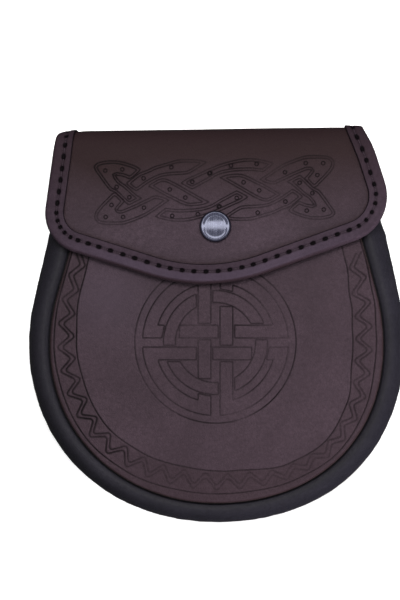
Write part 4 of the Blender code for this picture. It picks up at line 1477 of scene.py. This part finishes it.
def snap_cap():
    """Turned cap: its profile spun round the fastener's axis and set on the flap."""
    bm = bmesh.new()
    verts = [bm.verts.new((radius, 0.0, height)) for radius, height in cap_profile()]
    edges = [bm.edges.new(pair) for pair in zip(verts, verts[1:])]
    bmesh.ops.spin(bm, geom=verts + edges, cent=(0.0, 0.0, 0.0), axis=(0.0, 0.0, 1.0),
                   angle=math.tau, steps=CAP_TURNS, use_merge=True)
    bmesh.ops.remove_doubles(bm, verts=bm.verts, dist=WELD)
    spot = flap_spot(Vector((SNAP_X, SNAP_Y)))
    axis = flap_normal(*spot)
    turn = axis.to_track_quat("Z", "Y").to_matrix().to_4x4()
    seat = off_flap(spot, FLAP_CLEAR)
    bmesh.ops.transform(bm, matrix=Matrix.Translation(seat) @ turn, verts=bm.verts)
    return bm


cap = add_piece("snap_button", snap_cap(), snap_metal, "snap_metal", "snap_cap")
cap.data.set_sharp_from_angle(angle=CAP_SHARP)

# -------------------------------------------------------------------------- hangers
# On the back at each side, a leather tab folded round the bar of a nickel ring and sewn
# down.  A strap or chain goes to the ring's bow.
HANGER_X = 0.0575
HANGER_Y = 0.0615
TAB_LEATHER = 0.0016
TAB_LENGTH = 0.024
TAB_HALF_WIDTH = 0.008
TAB_BEND = 0.00225
TAB_CORNER = 0.0005
TAB_CORNER_POINTS = 3
TAB_POINTS = 20
TAB_BEND_POINTS = 14
TAB_SHUT_LENGTH = 0.0125
TAB_SLIMMER = 0.98
TAB_STITCH_INSET = 0.0030
TAB_STITCH_PITCH = 0.0030
TAB_STITCH_SHARE = 0.86
TAB_STITCH_ROWS = (-0.0055, 0.0, 0.0055)
TAB_STITCHES = 3
RING_BAR = 0.0024
RING_THICKNESS = 0.0021
RING_LENGTH = 0.0240
RING_DEPTH = 0.0165
RING_CLEARANCE = 0.00025
RING_BAR_CORNER = 0.0015
RING_BOW_CORNER = 0.0073
RING_STEP = 0.0008
RING_SIDES = 16
RING_SQUARENESS = 0.75
HANGER_STEP = 0.004
NICKEL = (0.55, 0.55, 0.57, 1.0)
RING_ROUGHNESS = 0.20
RING_STREAKS = (300.0, 900.0, 900.0)


def hanger_frame(side):
    """Place of a hanger: on the back's face at the ring's bar, X outward and Z off the back."""
    x = side * HANGER_X
    step = side * HANGER_STEP
    point = Vector((x, HANGER_Y, back_z(x, HANGER_Y)))
    out = Vector((step, 0.0, back_z(x + step, HANGER_Y) - point.z)).normalized()
    up = Vector((0.0, HANGER_STEP, back_z(x, HANGER_Y + HANGER_STEP) - point.z)).normalized()
    off = out.cross(up).normalized()
    if off.z > 0.0:
        off = -off
    up = off.cross(out).normalized()
    return Matrix.Translation(point) @ Matrix((out, up, off)).transposed().to_4x4()


def tab_path():
    """Middle of the tab's strip, side on: out along the back, round the bar and back."""
    low = PIECE_GAP + TAB_LEATHER / 2.0
    top = low + 2.0 * TAB_BEND
    shut = low + TAB_LEATHER
    path = [Vector((-TAB_LENGTH * (1.0 - i / TAB_POINTS), low)) for i in range(TAB_POINTS)]
    path += [Vector((TAB_BEND * math.sin(a), low + TAB_BEND - TAB_BEND * math.cos(a)))
             for a in (math.pi * i / TAB_BEND_POINTS for i in range(TAB_BEND_POINTS + 1))]
    for i in range(1, TAB_POINTS + 1):
        back = TAB_LENGTH * i / TAB_POINTS
        path.append(Vector((-back, top + (shut - top) * eased(min(1.0, back / TAB_SHUT_LENGTH)))))
    return path


def tab_section():
    """Round-cornered section of the tab's strip: across it, and up from its middle."""
    half = TAB_LEATHER / 2.0 * TAB_SLIMMER
    section = []
    for across, rise in ((1, 1), (-1, 1), (-1, -1), (1, -1)):
        for i in range(TAB_CORNER_POINTS + 1):
            angle = math.pi / 2.0 * i / TAB_CORNER_POINTS
            if across != rise:
                angle = math.pi / 2.0 - angle
            section.append((
                across * (TAB_HALF_WIDTH - TAB_CORNER + TAB_CORNER * math.cos(angle)),
                rise * (half - TAB_CORNER + TAB_CORNER * math.sin(angle))))
    return section


def tab_skin(side):
    """Strip of leather with rounded edges, run along the tab's path."""
    placed = hanger_frame(side)
    path = tab_path()
    rows = []
    for i, point in enumerate(path):
        run = heading(path, i)
        rows.append([placed @ Vector((point.x - run.y * rise, across, point.y + run.x * rise))
                     for across, rise in tab_section()])
    return skin(rows)


def squared(value):
    """Share of a round section's half width, drawn out towards its corners."""
    return math.copysign(abs(value) ** RING_SQUARENESS, value)


def ring_skin(side):
    """Cast ring: a straight bar and a rounded bow in one round-edged section."""
    placed = hanger_frame(side)
    level = PIECE_GAP + TAB_LEATHER + RING_CLEARANCE + RING_THICKNESS / 2.0
    far = RING_DEPTH - RING_BAR
    half = RING_LENGTH / 2.0 - RING_BAR / 2.0
    corners = [(Vector((0.0, -half)), RING_BAR_CORNER), (Vector((far, -half)), RING_BOW_CORNER),
               (Vector((far, half)), RING_BOW_CORNER), (Vector((0.0, half)), RING_BAR_CORNER)]
    path = even_path(rounded(corners, CORNER_POINTS), RING_STEP, True)
    rows = []
    for i in range(len(path) + 1):
        point = path[i % len(path)]
        run = heading(path, i % len(path), True)
        row = []
        for angle in round_turn(RING_SIDES):
            across = squared(math.cos(angle)) * RING_BAR / 2.0
            rise = squared(math.sin(angle)) * RING_THICKNESS / 2.0
            row.append(placed @ Vector((point.x - run.y * across, point.y + run.x * across,
                                        level + rise)))
        rows.append(row)
    return skin(rows)


def tab_stitches(side):
    """Three short rows of stitches through both layers of the tab."""
    bm = bmesh.new()
    placed = hanger_frame(side)
    face = PIECE_GAP + 2.0 * TAB_LEATHER + BACK_SEAT
    for across in TAB_STITCH_ROWS:
        for number in range(TAB_STITCHES):
            def place(share, sunk):
                run = TAB_STITCH_PITCH * (number + share * TAB_STITCH_SHARE)
                return placed @ Vector((TAB_STITCH_INSET - TAB_LENGTH + run, across, face - sunk))
            add_stitch(bm, place, OFF_BACK)
    return bm


ring_metal = plated("ring_metal", NICKEL, RING_ROUGHNESS, RING_STREAKS)
for suffix, side in (("left", -1.0), ("right", 1.0)):
    add_piece("tab_" + suffix, tab_skin(side), tooled_leather, "tooled_leather",
              "hanger_tab_" + suffix)
    add_piece("ring_" + suffix, ring_skin(side), ring_metal, "ring_metal",
              "hanger_ring_" + suffix)
    add_piece("tab_stitches_" + suffix, tab_stitches(side), waxed_thread, "tooled_leather")

# ------------------------------------------------------------ floor, light and camera
# A plain white floor.  Beyond the pouch's top stand a soft key light and, mirrored by the
# cap, a long strip and a window; a low fill lights its right side, and the sky darkens
# towards the floor.  The camera is straight over the front.
FLOOR_SIZE = 5.0
FLOOR_FINISH = {
    "Base Color": (0.93, 0.93, 0.93, 1.0),
    "Roughness": 0.9,
    "Specular IOR Level": 0.0,
    "Emission Color": (1.0, 1.0, 1.0, 1.0),
    "Emission Strength": 0.55,
}
WHITE = (1.0, 1.0, 1.0)
STRIP_WHITE = (1.0, 1.0, 0.84)
LIGHTS = (
    {"name": "key", "place": (0.05, 0.64, 1.38), "size": (1.0, 0.5), "watts": 21.5,
     "colour": WHITE, "mirrored": False},
    {"name": "strip", "place": (0.00, 0.430, 1.50), "size": (1.7, 0.13), "watts": 2.0,
     "colour": STRIP_WHITE, "mirrored": True},
    {"name": "window", "place": (0.00, 0.95, 1.50), "size": (1.6, 0.42), "watts": 4.6,
     "colour": STRIP_WHITE, "mirrored": True},
    {"name": "fill", "place": (1.15, -1.00, 0.32), "size": (0.9, 0.5), "watts": 37.0,
     "colour": WHITE, "mirrored": False},
)
LIT_POINT = Vector((0.0, 0.0, 0.03))
SKY_GLOW = (0.06, 0.50)
SKY_RISE = (-0.10, 0.75)
PHOTO_HEIGHT = 600
MM_PER_PIXEL = 0.5338
CAMERA_DISTANCE = 4.0
CAMERA_REACH = 50.0
CAMERA_X = -0.0089
CAMERA_Y = 0.0128
SENSOR = 36.0


def floor():
    """White floor that glows a little, as a lit paper sweep does."""
    bm = bmesh.new()
    bmesh.ops.create_grid(bm, x_segments=1, y_segments=1, size=FLOOR_SIZE)
    mesh = bpy.data.meshes.new("floor")
    bm.to_mesh(mesh)
    bm.free()
    material, _, shader, _ = new_material("pale_floor")
    for name, value in FLOOR_FINISH.items():
        shader.inputs[name].default_value = value
    mesh.materials.append(material)
    piece = in_scene("floor", mesh)
    piece.visible_glossy = False
    piece.visible_diffuse = False


def area_light(name, place, size, watts, colour, mirrored):
    """Rectangular light turned to the pouch's middle."""
    light = bpy.data.lights.new(name, "AREA")
    light.shape = "RECTANGLE"
    light.size, light.size_y = size
    light.energy = watts
    light.color = colour
    lamp = in_scene(name, light)
    lamp.location = place
    lamp.rotation_mode = "QUATERNION"
    lamp.rotation_quaternion = (LIT_POINT - Vector(place)).to_track_quat("-Z", "Y")
    lamp.visible_glossy = mirrored


floor()
for row in LIGHTS:
    area_light(**row)
world = bpy.data.worlds.new("studio")
world.use_nodes = True
sky = world.node_tree
towards = node(sky, "ShaderNodeTexCoord", {}, {}).outputs["Generated"]
up = node(sky, "ShaderNodeSeparateXYZ", {}, {"Vector": towards}).outputs["Z"]
sky.links.new(spread(sky, up, *SKY_GLOW, *SKY_RISE), sky.nodes["Background"].inputs["Strength"])
sky.nodes["Background"].inputs["Color"].default_value = (*WHITE, 1.0)
bpy.context.scene.world = world
bpy.context.scene.view_settings.view_transform = "Standard"
camera = bpy.data.cameras.new("camera")
camera.sensor_width = SENSOR
camera.lens = SENSOR * CAMERA_DISTANCE / (PHOTO_HEIGHT * MM_PER_PIXEL / 1000.0)
camera.clip_end = CAMERA_REACH
viewer = in_scene("camera", camera)
viewer.location = (CAMERA_X, CAMERA_Y, BELLY_Z + CAMERA_DISTANCE)
bpy.context.scene.camera = viewer
